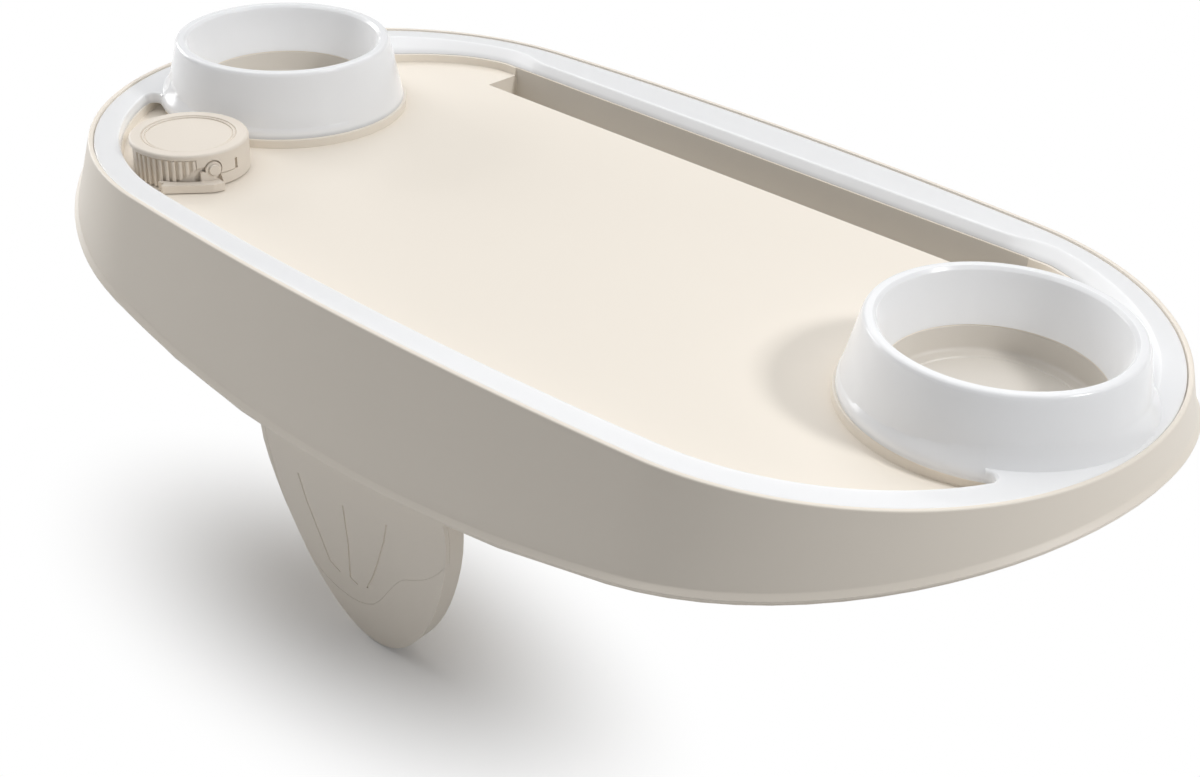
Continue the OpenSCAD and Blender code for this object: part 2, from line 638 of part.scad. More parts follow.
// Battery tube with its neck and flange, clamped through the deck by a ring nut
flange_r = cap_r - cap_wall - 0.7;
tube_gasket_h = 0.8;
module battery_tube() {
    color(shade_cream) at_cap() difference() {
        union() {
            tube_between(tube_r, tube_floor - 2.2, neck_h);
            tube_between(flange_r, tube_gasket_h, tube_gasket_h + 1.4);
        }
        tube_between(tube_in_r, tube_floor, neck_h + 1);
        // Keyway for the contact carrier
        translate([tube_in_r - 1.5, -1.7, cell_top - 4]) cube([2.6, 3.4, 20]);
    }
}
module tube_gasket() {
    color(rubber) at_cap() difference() {
        tube_between(flange_r - 0.3, 0, tube_gasket_h);
        tube_between(tube_r + fit_gap, -1, 2);
    }
}
module tube_nut() {
    h = 5;
    color(shade_cream) at_cap() difference() {
        tube_between(tube_r + 2.6, -deck_t - h, -deck_t);
        tube_between(tube_r + fit_gap / 2, -deck_t - h - 1, -deck_t + 1);
        for (a = [0 : 60 : 300]) rotate([0, 0, a])
            translate([tube_r + 1.4, -2.5, -deck_t - h - 1]) cube([4, 5, h]);
    }
}
module battery_cell(k) {
    color("orange") at_cap() rotate([0, 0, 90 + 120 * k]) translate([cell_ring_r, 0, cell_bottom]) {
        cylinder(r = cell_r, h = cell_l - 1.2, $fn = 48);
        translate([0, 0, cell_l - 1.2 - eps]) cylinder(r = 2.7, h = 1.2 + eps, $fn = 32);
    }
}
module cell_springs() {
    color(steel) at_cap() for (k = [0 : 2]) rotate([0, 0, 90 + 120 * k])
        translate([cell_ring_r, 0, tube_floor]) difference() {
            cylinder(r1 = 4.6, r2 = 3.2, h = spring_h, $fn = 32);
            translate([0, 0, -1]) cylinder(r = 2, h = 4, $fn = 32);
        }
}

// Pieces that come off with the cap
module contact_carrier() {
    z = cell_top + 0.4;
    color(shade_cream) at_cap() difference() {
        union() {
            tube_between(tube_in_r - 0.5, z, z + carrier_t);
            translate([tube_in_r - 2, -1.4, z]) cube([2.4, 2.8, carrier_t]);
        }
        tube_between(2, z - 1, z + carrier_t + 1);
    }
}
module carrier_strips() {
    color(steel) at_cap() for (k = [0 : 2]) rotate([0, 0, 90 + 120 * k])
        translate([cell_ring_r, 0, cell_top]) cylinder(r = 4.5, h = 0.4, $fn = 32);
}
seal_r = 0.5;
rib_first = -99;
rib_last = -31;
rib_top = 12.8;
pocket_slope = 12.4;
module cap_wedge(a0, a1, r, h) {
    // Upright wedge between two bearings
    mid = (a0 + a1) / 2;
    linear_extrude(height = h) polygon([[0, 0], [r * cos(a0), r * sin(a0)],
        [1.3 * r * cos(mid), 1.3 * r * sin(mid)], [r * cos(a1), r * sin(a1)]]);
}
module on_knob() {
    rotate([0, 0, knob_bearing]) translate([0, 0, knob_z]) rotate([0, 90, 0]) children();
}
module battery_cap() {
    skin_r = cap_r - 0.7;
    color(shade_cream) at_cap() difference() {
        union() {
            tube_between(skin_r, cap_lift_gap, rib_top);
            translate([0, 0, rib_top - eps]) rotate_extrude($fn = 96) polygon([[0, 0],
                [cap_r, 0], [cap_r, cap_h - rib_top - 1.2], [cap_r - 0.4, cap_h - rib_top - 0.4],
                [cap_r - 1.2, cap_h - rib_top], [cap_disc_r + 0.6, cap_h - rib_top],
                [cap_disc_r, cap_h - rib_top - 0.7], [0, cap_h - rib_top - 0.7]]);
            intersection() {
                tube_between(cap_r, cap_lift_gap, rib_top);
                union() {
                    translate([0, 0, cap_lift_gap]) cap_wedge(7, 60, 40, 15);
                    translate([0, 0, cap_lift_gap]) cap_wedge(60, 81, 40, 15);
                }
            }
            for (a = [rib_first : rib_pitch : rib_last], flip = [0, 180])
                rotate([0, 0, a + flip]) translate([skin_r - 0.1, -0.8, cap_lift_gap])
                    cube([0.75, 1.6, rib_top - cap_lift_gap]);
        }
        tube_between(cap_r - cap_wall, -1, neck_h + 0.4);
        tube_between(tube_r + 0.6, -1, neck_h + 2 * seal_r);
        tube_between(tube_in_r + 0.7, -1, cap_roof);
        // Pocket for the lever: its top edge rises along a slant to the round eye
        difference() {
            intersection() {
                cap_wedge(-66, -8, 40, 30);
                rotate([0, 0, knob_bearing]) translate([0, 0, knob_z + 3.6]) rotate([0, 0, 90])
                    rotate([90, 0, 0]) translate([0, 0, 0]) linear_extrude(height = 40)
                        polygon([[10, -20], [4, 0], [-8, -0.8], [-24, -10], [-24, -20]]);
            }
            tube_between(skin_r - 0.9, -1, 30);
        }
        difference() {
            on_knob() cylinder(r = 4, h = 40, $fn = 48);
            tube_between(skin_r - 0.9, -1, 30);
        }
        on_knob() cylinder(r = 1.15, h = 40, $fn = 32);
        // Upright slot beside the lever
        rotate([0, 0, 7]) translate([skin_r - 0.9, -0.6, 6.7]) cube([4, 1.2, 4.2]);
    }
}
module cap_seal() {
    color(rubber) at_cap() translate([0, 0, neck_h + seal_r]) rotate_extrude($fn = 72)
        translate([tube_r - 0.9, 0]) circle(r = seal_r, $fn = 20);
}
lever_end = knob_bearing + 4.4;
module lever_body(z_gap) {
    inner = cap_r + 0.3;
    // Bar round the cap's foot, the thicker finger tab, and the web up to the eye
    difference() {
        union() {
            intersection() {
                tube_between(inner + 1.8, z_gap, z_gap + lever_h);
                cap_wedge(-66, lever_end, 40, 30);
            }
            intersection() {
                difference() {
                    tube_between(30.3, z_gap, z_gap + lever_h);
                    rotate([0, 0, -39]) translate([28.6, -20, -1]) cube([10, 40, 20]);
                }
                cap_wedge(-60, lever_end, 40, 30);
            }
        }
        tube_between(inner, -1, 30);
    }
}
module latch_lever() {
    skin_r = cap_r - 0.7;
    color(cream) at_cap() difference() {
        union() {
            lever_body(0.4);
            difference() {
                intersection() {
                    union() {
                        on_knob() cylinder(r = 3.4, h = 40, $fn = 48);
                        rotate([0, 0, knob_bearing]) translate([0, 0, 0.4]) translate([0, -5.5, 0])
                            cube([40, 6.5, knob_z - 1]);
                    }
                    tube_between(cap_r + 0.5, 0.4, 30);
                }
                tube_between(skin_r - 0.5, -1, 30);
            }
        }
        on_knob() cylinder(r = 1.15, h = 40, $fn = 32);
    }
}
module latch_pin() {
    color(cream) at_cap() on_knob() {
        translate([0, 0, tube_r + 1]) cylinder(r = 1.05, h = cap_r - tube_r, $fn = 32);
        translate([0, 0, cap_r + 0.7]) cylinder(r1 = knob_r, r2 = knob_r - 0.3, h = 0.7, $fn = 48);
    }
}

// Leads inside: a thin tube of eight sides swept along points chosen by hand
function unit(v) = v / norm(v);
module lead(route, r) {
    m = len(route);
    dirs = [for (i = [0 : m - 1]) unit(route[min(i + 1, m - 1)] - route[max(i - 1, 0)])];
    pts = [for (i = [0 : m - 1]) let (u = unit(cross(dirs[i], [0.12, 0.2, 1])),
        w = cross(dirs[i], u)) each [for (a = [0 : 45 : 315])
        route[i] + r * cos(a) * u + r * sin(a) * w]];
    polyhedron(points = pts, faces = concat([[for (k = [0 : 7]) k]],
        [for (i = [0 : m - 2], k = [0 : 7]) let (j = (k + 1) % 8)
            [i * 8 + k, (i + 1) * 8 + k, (i + 1) * 8 + j, i * 8 + j]],
        [[for (k = [7 : -1 : 0]) (m - 1) * 8 + k]]));
}
strip_entry = [board_x + 28, -rim_half_w + 8.1];
board_mid = board_top - board_t / 2;
tube_side = [cap_x + tube_r + 0.66, cap_y + 3.5];
board_side = [board_x - board_l / 2 - 0.7, board_y - 6];
function between(a, b, t, z) = [mix(a[0], b[0], t), mix(a[1], b[1], t), z];
power_route = [for (p = [[0, -2.8], [0.17, -3.8], [0.39, -3.8], [0.64, -2.8], [0.86, -1.3], [1, 0]])
    between(tube_side, board_side, p[0], board_mid + p[1])];
strip_route = [for (p = [[board_l / 2 + 0.6, 0, board_mid], [32, 0.03, board_mid - 0.8],
        [35, 0.16, board_mid - 1.8], [35, 0.4, board_mid - 1.8], [33, 0.65, board_mid - 0.8],
        [30, 0.84, board_mid + 2.2], [28, 0.97, -8], [28, 1, -5.5], [28, 1, channel_z]])
    [board_x + p[0], mix(board_y - 2, strip_entry[1], p[1]), p[2]]];
module power_lead() { color("black") at_ledge() lead(power_route, 1); }
module strip_lead() { color("black") at_ledge() lead(strip_route, 1); }

upper_housing();
light_guide();
base_cover();
base_gasket();
cover_screws();
front_leg();
front_leg_panel();
rear_leg();
rear_leg_panel();
leg_screws();
led_strip();
leds();
control_board();
board_screws();
battery_tube();
tube_gasket();
tube_nut();
battery_cell(0);  // battery_cell_1
battery_cell(1);  // battery_cell_2
battery_cell(2);  // battery_cell_3
cell_springs();
contact_carrier();
carrier_strips();
battery_cap();
cap_seal();
latch_lever();
latch_pin();
power_lead();
strip_lead();
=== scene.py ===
# %% [markdown]
# A hot tub tray, dressed for its picture.
#
# The tray straddles the wall of an inflatable tub. An oval housing of cream
# plastic carries a flat deck, and a translucent white moulding, the light guide,
# runs round the deck and grows up into two rings for drinks. A long slot holds
# a tablet, a round cap closes the battery tube, and two tongue-shaped legs hang
# below and grip the wall. The solid model is the frame: pieces whose shape is
# already right only get a finish, and pieces with soft curves are built finer.

import json
import math

import bmesh
import bpy
from mathutils import Matrix, Vector


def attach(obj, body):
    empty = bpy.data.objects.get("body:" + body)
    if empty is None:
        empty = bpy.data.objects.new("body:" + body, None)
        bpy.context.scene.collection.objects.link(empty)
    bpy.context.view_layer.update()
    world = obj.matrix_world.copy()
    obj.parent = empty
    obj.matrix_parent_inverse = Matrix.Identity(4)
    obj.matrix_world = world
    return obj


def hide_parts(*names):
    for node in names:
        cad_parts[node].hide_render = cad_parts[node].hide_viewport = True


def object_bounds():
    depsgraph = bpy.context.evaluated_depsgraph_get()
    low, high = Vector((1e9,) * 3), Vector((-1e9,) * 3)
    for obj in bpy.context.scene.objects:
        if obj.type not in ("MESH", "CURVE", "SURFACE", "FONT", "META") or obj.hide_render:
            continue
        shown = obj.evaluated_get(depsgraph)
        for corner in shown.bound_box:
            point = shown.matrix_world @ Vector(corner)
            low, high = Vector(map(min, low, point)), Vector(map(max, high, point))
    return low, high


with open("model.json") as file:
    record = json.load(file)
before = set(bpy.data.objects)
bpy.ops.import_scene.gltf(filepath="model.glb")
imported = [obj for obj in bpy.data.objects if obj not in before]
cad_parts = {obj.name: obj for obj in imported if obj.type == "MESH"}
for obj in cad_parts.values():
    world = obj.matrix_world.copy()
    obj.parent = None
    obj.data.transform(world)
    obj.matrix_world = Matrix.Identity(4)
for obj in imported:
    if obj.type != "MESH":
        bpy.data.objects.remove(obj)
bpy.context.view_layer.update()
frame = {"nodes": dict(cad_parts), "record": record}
nodes = frame["nodes"]
print("pieces of the frame:", len(nodes))

# %% [markdown]
# The camera stands to the right of the tray's long front and looks down on it by
# about thirty degrees, turned a little clockwise. It is set from a bearing, a
# height angle, a roll and a distance rather than from three rotation angles,
# because those are the numbers that a photographer could read off the tripod.

# %% Camera
BEARING, LIFT, ROLL = 41.125, 30.513, 2.448
LOOK_AT = Vector((0.0924, -0.0937, 0.025))
DISTANCE = 0.6119
LENS, SENSOR = 53.95, 36


def camera_axes(bearing, lift, roll):
    b, e, r = (math.radians(v) for v in (bearing, lift, roll))
    back = Vector((math.sin(b) * math.cos(e), -math.cos(b) * math.cos(e), math.sin(e)))
    right = Vector((math.cos(b), math.sin(b), 0))
    up = back.cross(right)
    return right * math.cos(r) + up * math.sin(r), up * math.cos(r) - right * math.sin(r), back


right, up, back = camera_axes(BEARING, LIFT, ROLL)
camera = bpy.data.objects.new("camera", bpy.data.cameras.new("camera"))
bpy.context.scene.collection.objects.link(camera)
camera.matrix_world = Matrix.Translation(LOOK_AT + back * DISTANCE) @ Matrix(
    (right, up, back)
).transposed().to_4x4()
camera.data.sensor_width = SENSOR
camera.data.lens = LENS
camera.data.clip_start, camera.data.clip_end = 0.01, 50
bpy.context.scene.camera = camera
print("camera at", [round(v, 3) for v in camera.matrix_world.translation])

# %% [markdown]
# Moulded plastic is never quite smooth. Fine spark erosion in the mould leaves a
# grain that the eye reads as a soft satin sheen, and thick walls sink and cool
# unevenly, so the gloss drifts slowly over a large face. Every plastic here
# shares the effect, so it is a node group with a named grain size and depth. It
# reads Object coordinates, which stay put when the camera or a joint moves.

# %% Shared effect: moulded grain
def new_group(name, inputs, outputs):
    group = bpy.data.node_groups.new(name, "ShaderNodeTree")
    for title, kind, value in inputs:
        socket = group.interface.new_socket(name=title, in_out="INPUT", socket_type=kind)
        socket.default_value = value
    for title, kind in outputs:
        group.interface.new_socket(name=title, in_out="OUTPUT", socket_type=kind)
    return group, group.nodes.new("NodeGroupInput"), group.nodes.new("NodeGroupOutput")


FLOAT, COLOR, VECTOR = "NodeSocketFloat", "NodeSocketColor", "NodeSocketVector"
GRAIN_SIZE, GRAIN_HEIGHT, DRIFT_SCALE = 2500.0, 0.00006, 14
grain, g_in, g_out = new_group(
    "moulded_grain",
    [
        ("Grain Size", FLOAT, GRAIN_SIZE),
        ("Depth", FLOAT, 0.1),
        ("Gloss", FLOAT, 0.45),
        ("Drift", FLOAT, 0.05),
    ],
    [("Roughness", FLOAT), ("Normal", VECTOR)],
)
place = grain.nodes.new("ShaderNodeTexCoord")
fine = grain.nodes.new("ShaderNodeTexNoise")
fine.inputs["Detail"].default_value = 3
grain.links.new(place.outputs["Object"], fine.inputs["Vector"])
grain.links.new(g_in.outputs["Grain Size"], fine.inputs["Scale"])
bump = grain.nodes.new("ShaderNodeBump")
bump.inputs["Distance"].default_value = GRAIN_HEIGHT
grain.links.new(g_in.outputs["Depth"], bump.inputs["Strength"])
grain.links.new(fine.outputs["Fac"], bump.inputs["Height"])
grain.links.new(bump.outputs["Normal"], g_out.inputs["Normal"])
slow = grain.nodes.new("ShaderNodeTexNoise")
slow.inputs["Scale"].default_value = DRIFT_SCALE
slow.inputs["Detail"].default_value = 2
grain.links.new(place.outputs["Object"], slow.inputs["Vector"])
swing = grain.nodes.new("ShaderNodeMath")
swing.operation = "MULTIPLY_ADD"
grain.links.new(slow.outputs["Fac"], swing.inputs[0])
grain.links.new(g_in.outputs["Drift"], swing.inputs[1])
grain.links.new(g_in.outputs["Gloss"], swing.inputs[2])
grain.links.new(swing.outputs[0], g_out.inputs["Roughness"])
print("group:", grain.name, "with", len(grain.nodes), "nodes")

# %% [markdown]
# Pigmented plastic has a tint that wanders by a percent or two where the melt
# flowed. The second shared effect moves a base colour slightly between two near
# tones, so that no large face is one flat value.

# %% Shared effect: melt tone
tone, t_in, t_out = new_group(
    "melt_tone",
    [
        ("Color", COLOR, (0.8, 0.8, 0.8, 1)),
        ("Second Color", COLOR, (0.75, 0.75, 0.75, 1)),
        ("Scale", FLOAT, 9.0),
    ],
    [("Color", COLOR)],
)
where = tone.nodes.new("ShaderNodeTexCoord")
cloud = tone.nodes.new("ShaderNodeTexNoise")
cloud.inputs["Detail"].default_value = 4
blend = tone.nodes.new("ShaderNodeMix")
blend.data_type = "RGBA"
tone.links.new(where.outputs["Object"], cloud.inputs["Vector"])
tone.links.new(t_in.outputs["Scale"], cloud.inputs["Scale"])
tone.links.new(cloud.outputs["Fac"], blend.inputs["Factor"])
tone.links.new(t_in.outputs["Color"], blend.inputs["A"])
tone.links.new(t_in.outputs["Second Color"], blend.inputs["B"])
tone.links.new(blend.outputs["Result"], t_out.inputs["Color"])
print("group:", tone.name, "with", len(tone.nodes), "nodes")

# %% [markdown]
# Every finish is one of two kinds, a plastic or a metal. Colours are written as a
# photographer reads them from a screen and turned into linear light. Both shared
# effects go into each material with that material's own values.

# %% Plastic and metal
PLASTIC_IOR, SCATTER_DEPTH = 1.46, 0.005


def linear(r, g, b):
    def one(c):
        c /= 255
        return c / 12.92 if c <= 0.04045 else ((c + 0.055) / 1.055) ** 2.4

    return one(r), one(g), one(b), 1.0


def shader_of(material):
    return material.node_tree.nodes["Principled BSDF"]


def set_values(node, values):
    for title, value in values.items():
        node.inputs[title].default_value = value


def plastic(name, rgb, gloss=0.42, grain_size=GRAIN_SIZE, depth=0.1, tint=0.97, subsurface=0.0):
    material = bpy.data.materials.new(name)
    material.use_nodes = True
    tree = material.node_tree
    shader = shader_of(material)
    surface = tree.nodes.new("ShaderNodeGroup")
    surface.node_tree = grain
    set_values(surface, {"Grain Size": grain_size, "Depth": depth, "Gloss": gloss})
    colour = tree.nodes.new("ShaderNodeGroup")
    colour.node_tree = tone
    first = linear(*rgb)
    second = [c * tint for c in first[:3]] + [1]
    set_values(colour, {"Color": first, "Second Color": second})
    tree.links.new(colour.outputs["Color"], shader.inputs["Base Color"])
    tree.links.new(surface.outputs["Roughness"], shader.inputs["Roughness"])
    tree.links.new(surface.outputs["Normal"], shader.inputs["Normal"])
    shader.inputs["IOR"].default_value = PLASTIC_IOR
    if subsurface:
        shader.inputs["Subsurface Weight"].default_value = subsurface
        shader.inputs["Subsurface Radius"].default_value = (1.0, 1.0, 1.0)
        shader.inputs["Subsurface Scale"].default_value = SCATTER_DEPTH
    return material


def metal(name, rgb, rough):
    material = plastic(name, rgb, gloss=rough, grain_size=1200.0, depth=0.05)
    shader_of(material).inputs["Metallic"].default_value = 1.0
    return material


steel = metal("screw_steel", (190, 192, 196), 0.35)
print("first finish:", steel.name)

# %% [markdown]
# The light guide is a glossy milky plastic. Light enters it and leaves again some
# millimetres away, so it scatters light below its surface, and a faint painted glow
# stands in for the light that a whole wall passes on. Its colour is painted a little
# darker at its foot, as painted shade where the ledge keeps the light away. Height in
# Object coordinates says where the foot is.

# %% Milky guide
GUIDE_PAINTED_GLOW = 0.15
FOOT_SHADE_RANGE = {"From Min": 0.0251, "From Max": 0.0272, "To Min": 0.72, "To Max": 1.0}


def object_axes(tree):
    """Object coordinates, split into X, Y and Z."""
    split = tree.nodes.new("ShaderNodeSeparateXYZ")
    tree.links.new(tree.nodes.new("ShaderNodeTexCoord").outputs["Object"], split.inputs[0])
    return split.outputs


def recolour(material, blend_type):
    """Puts a mix behind the base colour, with the colour so far as its first input."""
    tree = material.node_tree
    base = shader_of(material).inputs["Base Color"]
    mixed = tree.nodes.new("ShaderNodeMix")
    mixed.data_type, mixed.blend_type = "RGBA", blend_type
    tree.links.new(base.links[0].from_socket, mixed.inputs["A"])
    tree.links.new(mixed.outputs["Result"], base)
    return mixed


def paint_foot_shade(material):
    tree = material.node_tree
    foot = tree.nodes.new("ShaderNodeMapRange")
    foot.interpolation_type = "SMOOTHSTEP"
    set_values(foot, FOOT_SHADE_RANGE)
    tree.links.new(object_axes(tree)["Z"], foot.inputs["Value"])
    # Painted shade: the base colour is multiplied darker towards the foot.
    painted_foot_shade = recolour(material, "MULTIPLY")
    painted_foot_shade.inputs["Factor"].default_value = 1.0
    tree.links.new(foot.outputs["Result"], painted_foot_shade.inputs["B"])


milky = plastic("milky_guide", (224, 225, 227), gloss=0.15, depth=0.02, tint=0.995, subsurface=0.6)
# Painted glow: emission that stands in for light passed on through the guide.
shader_of(milky).inputs["Emission Color"].default_value = (1, 1, 1, 1)
shader_of(milky).inputs["Emission Strength"].default_value = GUIDE_PAINTED_GLOW
paint_foot_shade(milky)
print("guide:", milky.name, "with", len(milky.node_tree.nodes), "nodes")

# %% [markdown]
# The housing is a satin cream. In the wells and down in the slot a darker colour is mixed in,
# painted shade for the shadow that falls in those hollows. A mask of plain arithmetic on Object
# coordinates
# says where that is: within a circle round each well's axis or within the slot's
# rectangle, and below the mouth in both cases.

# %% Cream and its painted cavity shade
WELL_X, WELL_R, WELL_MOUTH = 0.1898, 0.0392, 0.0312
SLOT_X, SLOT_Y, SLOT_HALF_W, SLOT_MOUTH = 0.1422, 0.0942, 0.0096, 0.0247
# Colour and share of the painted shade in the wells and the slot.
CAVITY_SHADE_COLOUR, CAVITY_SHADE_SHARE = (196, 193, 188), 0.5


def painted_cavity_shade_mask(tree):
    """1 inside the wells and the slot below the deck, where shade is painted, 0 elsewhere."""
    def math_of(operation, *values):
        made = tree.nodes.new("ShaderNodeMath")
        made.operation = operation
        for socket, value in zip(made.inputs, values):
            if isinstance(value, float):
                socket.default_value = value
            else:
                tree.links.new(value, socket)
        return made.outputs[0]

    def below(value, limit):
        return math_of("LESS_THAN", value, limit)

    x, y, z = object_axes(tree)
    wide = math_of("ABSOLUTE", x)
    from_cup = math_of("SUBTRACT", wide, WELL_X)
    squares = [math_of("MULTIPLY", part, part) for part in (from_cup, y)]
    spread = math_of("SQRT", math_of("ADD", *squares))
    in_well = math_of("MULTIPLY", below(spread, WELL_R), below(z, WELL_MOUTH))
    across = math_of("ABSOLUTE", math_of("SUBTRACT", y, SLOT_Y))
    in_slot = math_of("MULTIPLY", below(wide, SLOT_X), below(across, SLOT_HALF_W))
    in_slot = math_of("MULTIPLY", in_slot, below(z, SLOT_MOUTH))
    return math_of("MAXIMUM", in_well, in_slot)


# Paints shade into the cream's colour in the wells and the slot.
def add_painted_cavity_shade(material):
    tree = material.node_tree
    shade_amount = tree.nodes.new("ShaderNodeMath")
    shade_amount.operation = "MULTIPLY"
    shade_amount.inputs[1].default_value = CAVITY_SHADE_SHARE
    tree.links.new(painted_cavity_shade_mask(tree), shade_amount.inputs[0])
    cavity_shaded = recolour(material, "MIX")
    tree.links.new(shade_amount.outputs[0], cavity_shaded.inputs["Factor"])
    cavity_shaded.inputs["B"].default_value = linear(*CAVITY_SHADE_COLOUR)


cream = plastic("cream_plastic", (244, 236, 224))
add_painted_cavity_shade(cream)
print("housing:", cream.name, "with", len(cream.node_tree.nodes), "nodes")

# %% [markdown]
# The other pieces are small or hidden, and each has a plain finish of its own. The
# record names a material slot for every piece of the frame, so one table from
# slot to finish dresses them all.

# %% Finishes by slot
FINISH = {
    "cream": cream,
    "panel_cream": cream,
    "cap_cream": plastic("cap_plastic", (235, 226, 214), gloss=0.45),
    "inner_cream": plastic("inner_plastic", (236, 228, 217), gloss=0.5),
    "translucent_white": milky,
    "seal_rubber": plastic("seal_rubber", (60, 60, 62), gloss=0.7),
    "screw_steel": steel,
    "strip_white": plastic("strip_white", (225, 225, 222)),
    "led_yellow": plastic("led_yellow", (235, 215, 130), gloss=0.2),
    "board_green": plastic("board_green", (40, 100, 70), gloss=0.3),
    "cell_wrap": plastic("cell_wrap", (215, 130, 60), gloss=0.3),
    "lead_black": plastic("lead_sleeve", (40, 40, 42), gloss=0.5),
}
slot_of = {row["node"]: row["material_slot"] for row in frame["record"]["subparts"]}
for name, piece in nodes.items():
    piece.data.materials.clear()
    piece.data.materials.append(FINISH[slot_of[name]])
print("materials:", len(bpy.data.materials), "on", len(nodes), "pieces of the frame")

# %% [markdown]
# Two pieces have long soft curves: the housing, and the light guide with its two
# rings. A solid modeller gives them as flat facets, so they are built again here
# with many more. Both follow one outline, two end arcs joined by two slack side
# arcs. A station is a point of that outline with its outward direction, and every
# section of the tray is a short list of insets and heights at a station. The
# numbers are millimetres, and heights count from the ledge that carries the band,
# as on a drawing. The finished mesh is scaled to metres at the very end.

# %% Outline stations
RIM_L, RIM_W, BULGE = 249.0, 130.0, 4.9
END_R = RIM_W - BULGE
END_X = RIM_L - END_R
SIDE_R = (END_X**2 + RIM_W**2 - END_R**2) / (2 * BULGE)
SIDE_A = math.atan2(END_X, SIDE_R - RIM_W)
END_STEPS, SIDE_STEPS = 54, 64


def stations():
    turn = math.pi / 2 - SIDE_A
    right_end, side = [], []
    for k in range(END_STEPS + 1):
        a = turn * k / END_STEPS
        nx, ny = math.cos(a), math.sin(a)
        right_end.append((END_X + END_R * nx, END_R * ny, nx, ny))
    for k in range(1, SIDE_STEPS):
        a = SIDE_A - 2 * SIDE_A * k / SIDE_STEPS
        nx, ny = math.sin(a), math.cos(a)
        side.append((SIDE_R * nx, RIM_W - SIDE_R + SIDE_R * ny, nx, ny))
    left_end = [(-x, y, -nx, ny) for x, y, nx, ny in reversed(right_end)]
    rear = right_end + side + left_end
    front = [(x, -y, nx, -ny) for x, y, nx, ny in reversed(rear[1:-1])]
    return rear + front


LINE = stations()
print("stations round the tray:", len(LINE))

# %% [markdown]
# Band and ledge don't have one width. Behind, the ledge is wider and the band stops
# short of the slot, and at the ends the ledge grows towards the rings. So each
# width is a function of the station: a value for the front, one for the rear, and a
# smooth change between them. The skirt is deep in the middle of the long sides,
# shallow at the ends, and flares outwards below the lip.

# %% Widths that change round the tray
SLOT_REAR_Y = RIM_W - 26.4
FRONT_BAND, REAR_BAND, SLOT_BAND_GAP = 12.9, 11.6, 3.9
FRONT_LEDGE, REAR_LEDGE, END_LEDGE = 13.8, 18.6, 27.8
REAR_FADE = 40
SLOT_REACH, SLOT_FADE = 128, 26
LEDGE_REACH, LEDGE_FADE = 41, 80
RIM_H, SKIRT_DEPTH, SKIRT_RISE, FLARE = 5.4, 48.7, 39.7, 0.24


def smooth(t):
    t = min(1.0, max(0.0, t))
    return t * t * (3 - 2 * t)


def mix_of(a, b, t):
    return a + (b - a) * t


def rear_part(s):
    """0 in front, 1 behind, and a smooth change across the ends."""
    return smooth((s[1] + REAR_FADE) / (2 * REAR_FADE))


def inset_to(s, y):
    """The inset from the outline that ends on a line along the tray."""
    return (s[1] - y) / s[3] if s[3] > 0.5 else 0.0


def band_in(s):
    near = 0.0 if s[1] < REAR_FADE else 1 - smooth((abs(s[0]) - SLOT_REACH) / SLOT_FADE)
    rear = mix_of(REAR_BAND, inset_to(s, SLOT_REAR_Y + SLOT_BAND_GAP), near)
    return mix_of(FRONT_BAND, rear, rear_part(s))


def ledge_in(s):
    to_slot = max(inset_to(s, SLOT_REAR_Y - 0.5), REAR_LEDGE)
    rear = mix_of(to_slot, END_LEDGE, smooth((abs(s[0]) - END_X - LEDGE_REACH) / LEDGE_FADE))
    return mix_of(FRONT_LEDGE, rear, rear_part(s))


def band_foot(s):
    return ledge_in(s) - 0.5 - 0.5 * rear_part(s)


def skirt_edge(s):
    return -SKIRT_DEPTH + SKIRT_RISE * (s[0] / RIM_L) ** 2


def flared(z):
    return FLARE * (RIM_H - z)


front, rear = (round(ledge_in(LINE[k]), 2) for k in (-60, 60))
print("ledge inset at the front and the rear:", front, rear)

# %% [markdown]
# A loft in bmesh is a loop of edges that is extruded again and again. Each vertex
# carries the number of its station in an integer layer, and extruding copies that
# number, so the new loop can be moved to the next section point by point.

# %% Loft
MERGE = 0.001


def section_points(section):
    points = []
    for s in LINE:
        off, z = section(s)
        points.append((s[0] + off * s[2], s[1] + off * s[3], z))
    return points


def loft(sections, closed):
    bm = bmesh.new()
    mark = bm.verts.layers.int.new("station")
    bmesh.ops.create_circle(bm, segments=len(LINE), radius=1)
    bm.verts.ensure_lookup_table()
    table = [section_points(section) for section in sections]
    for number, vert in enumerate(bm.verts):
        vert[mark] = number
        vert.co = table[0][number]
    loop = list(bm.edges)
    start = loop
    for ring in table[1:] + ([table[0]] if closed else []):
        made = bmesh.ops.extrude_edge_only(bm, edges=loop)["geom"]
        fresh = {part for part in made if isinstance(part, bmesh.types.BMVert)}
        for vert in fresh:
            vert.co = ring[vert[mark]]
        loop = [e for e in made if isinstance(e, bmesh.types.BMEdge) and set(e.verts) <= fresh]
    if closed:
        bmesh.ops.remove_doubles(bm, verts=bm.verts, dist=MERGE)
    else:
        bmesh.ops.contextual_create(bm, geom=start)
        bmesh.ops.contextual_create(bm, geom=loop)
    bmesh.ops.recalc_face_normals(bm, faces=bm.faces)
    return bm


print("each section of a loft has", len(LINE), "points")

# %% [markdown]
# Round things are spun from a half section, as a potter's profile is. Where the
# profile touches the axis, its edge on the axis is dropped before the spin and the
# points there are merged after it. Straight tools are boxes, and prisms grown from
# one face.

# %% Spun and straight solids
SPIN_STEPS = 144


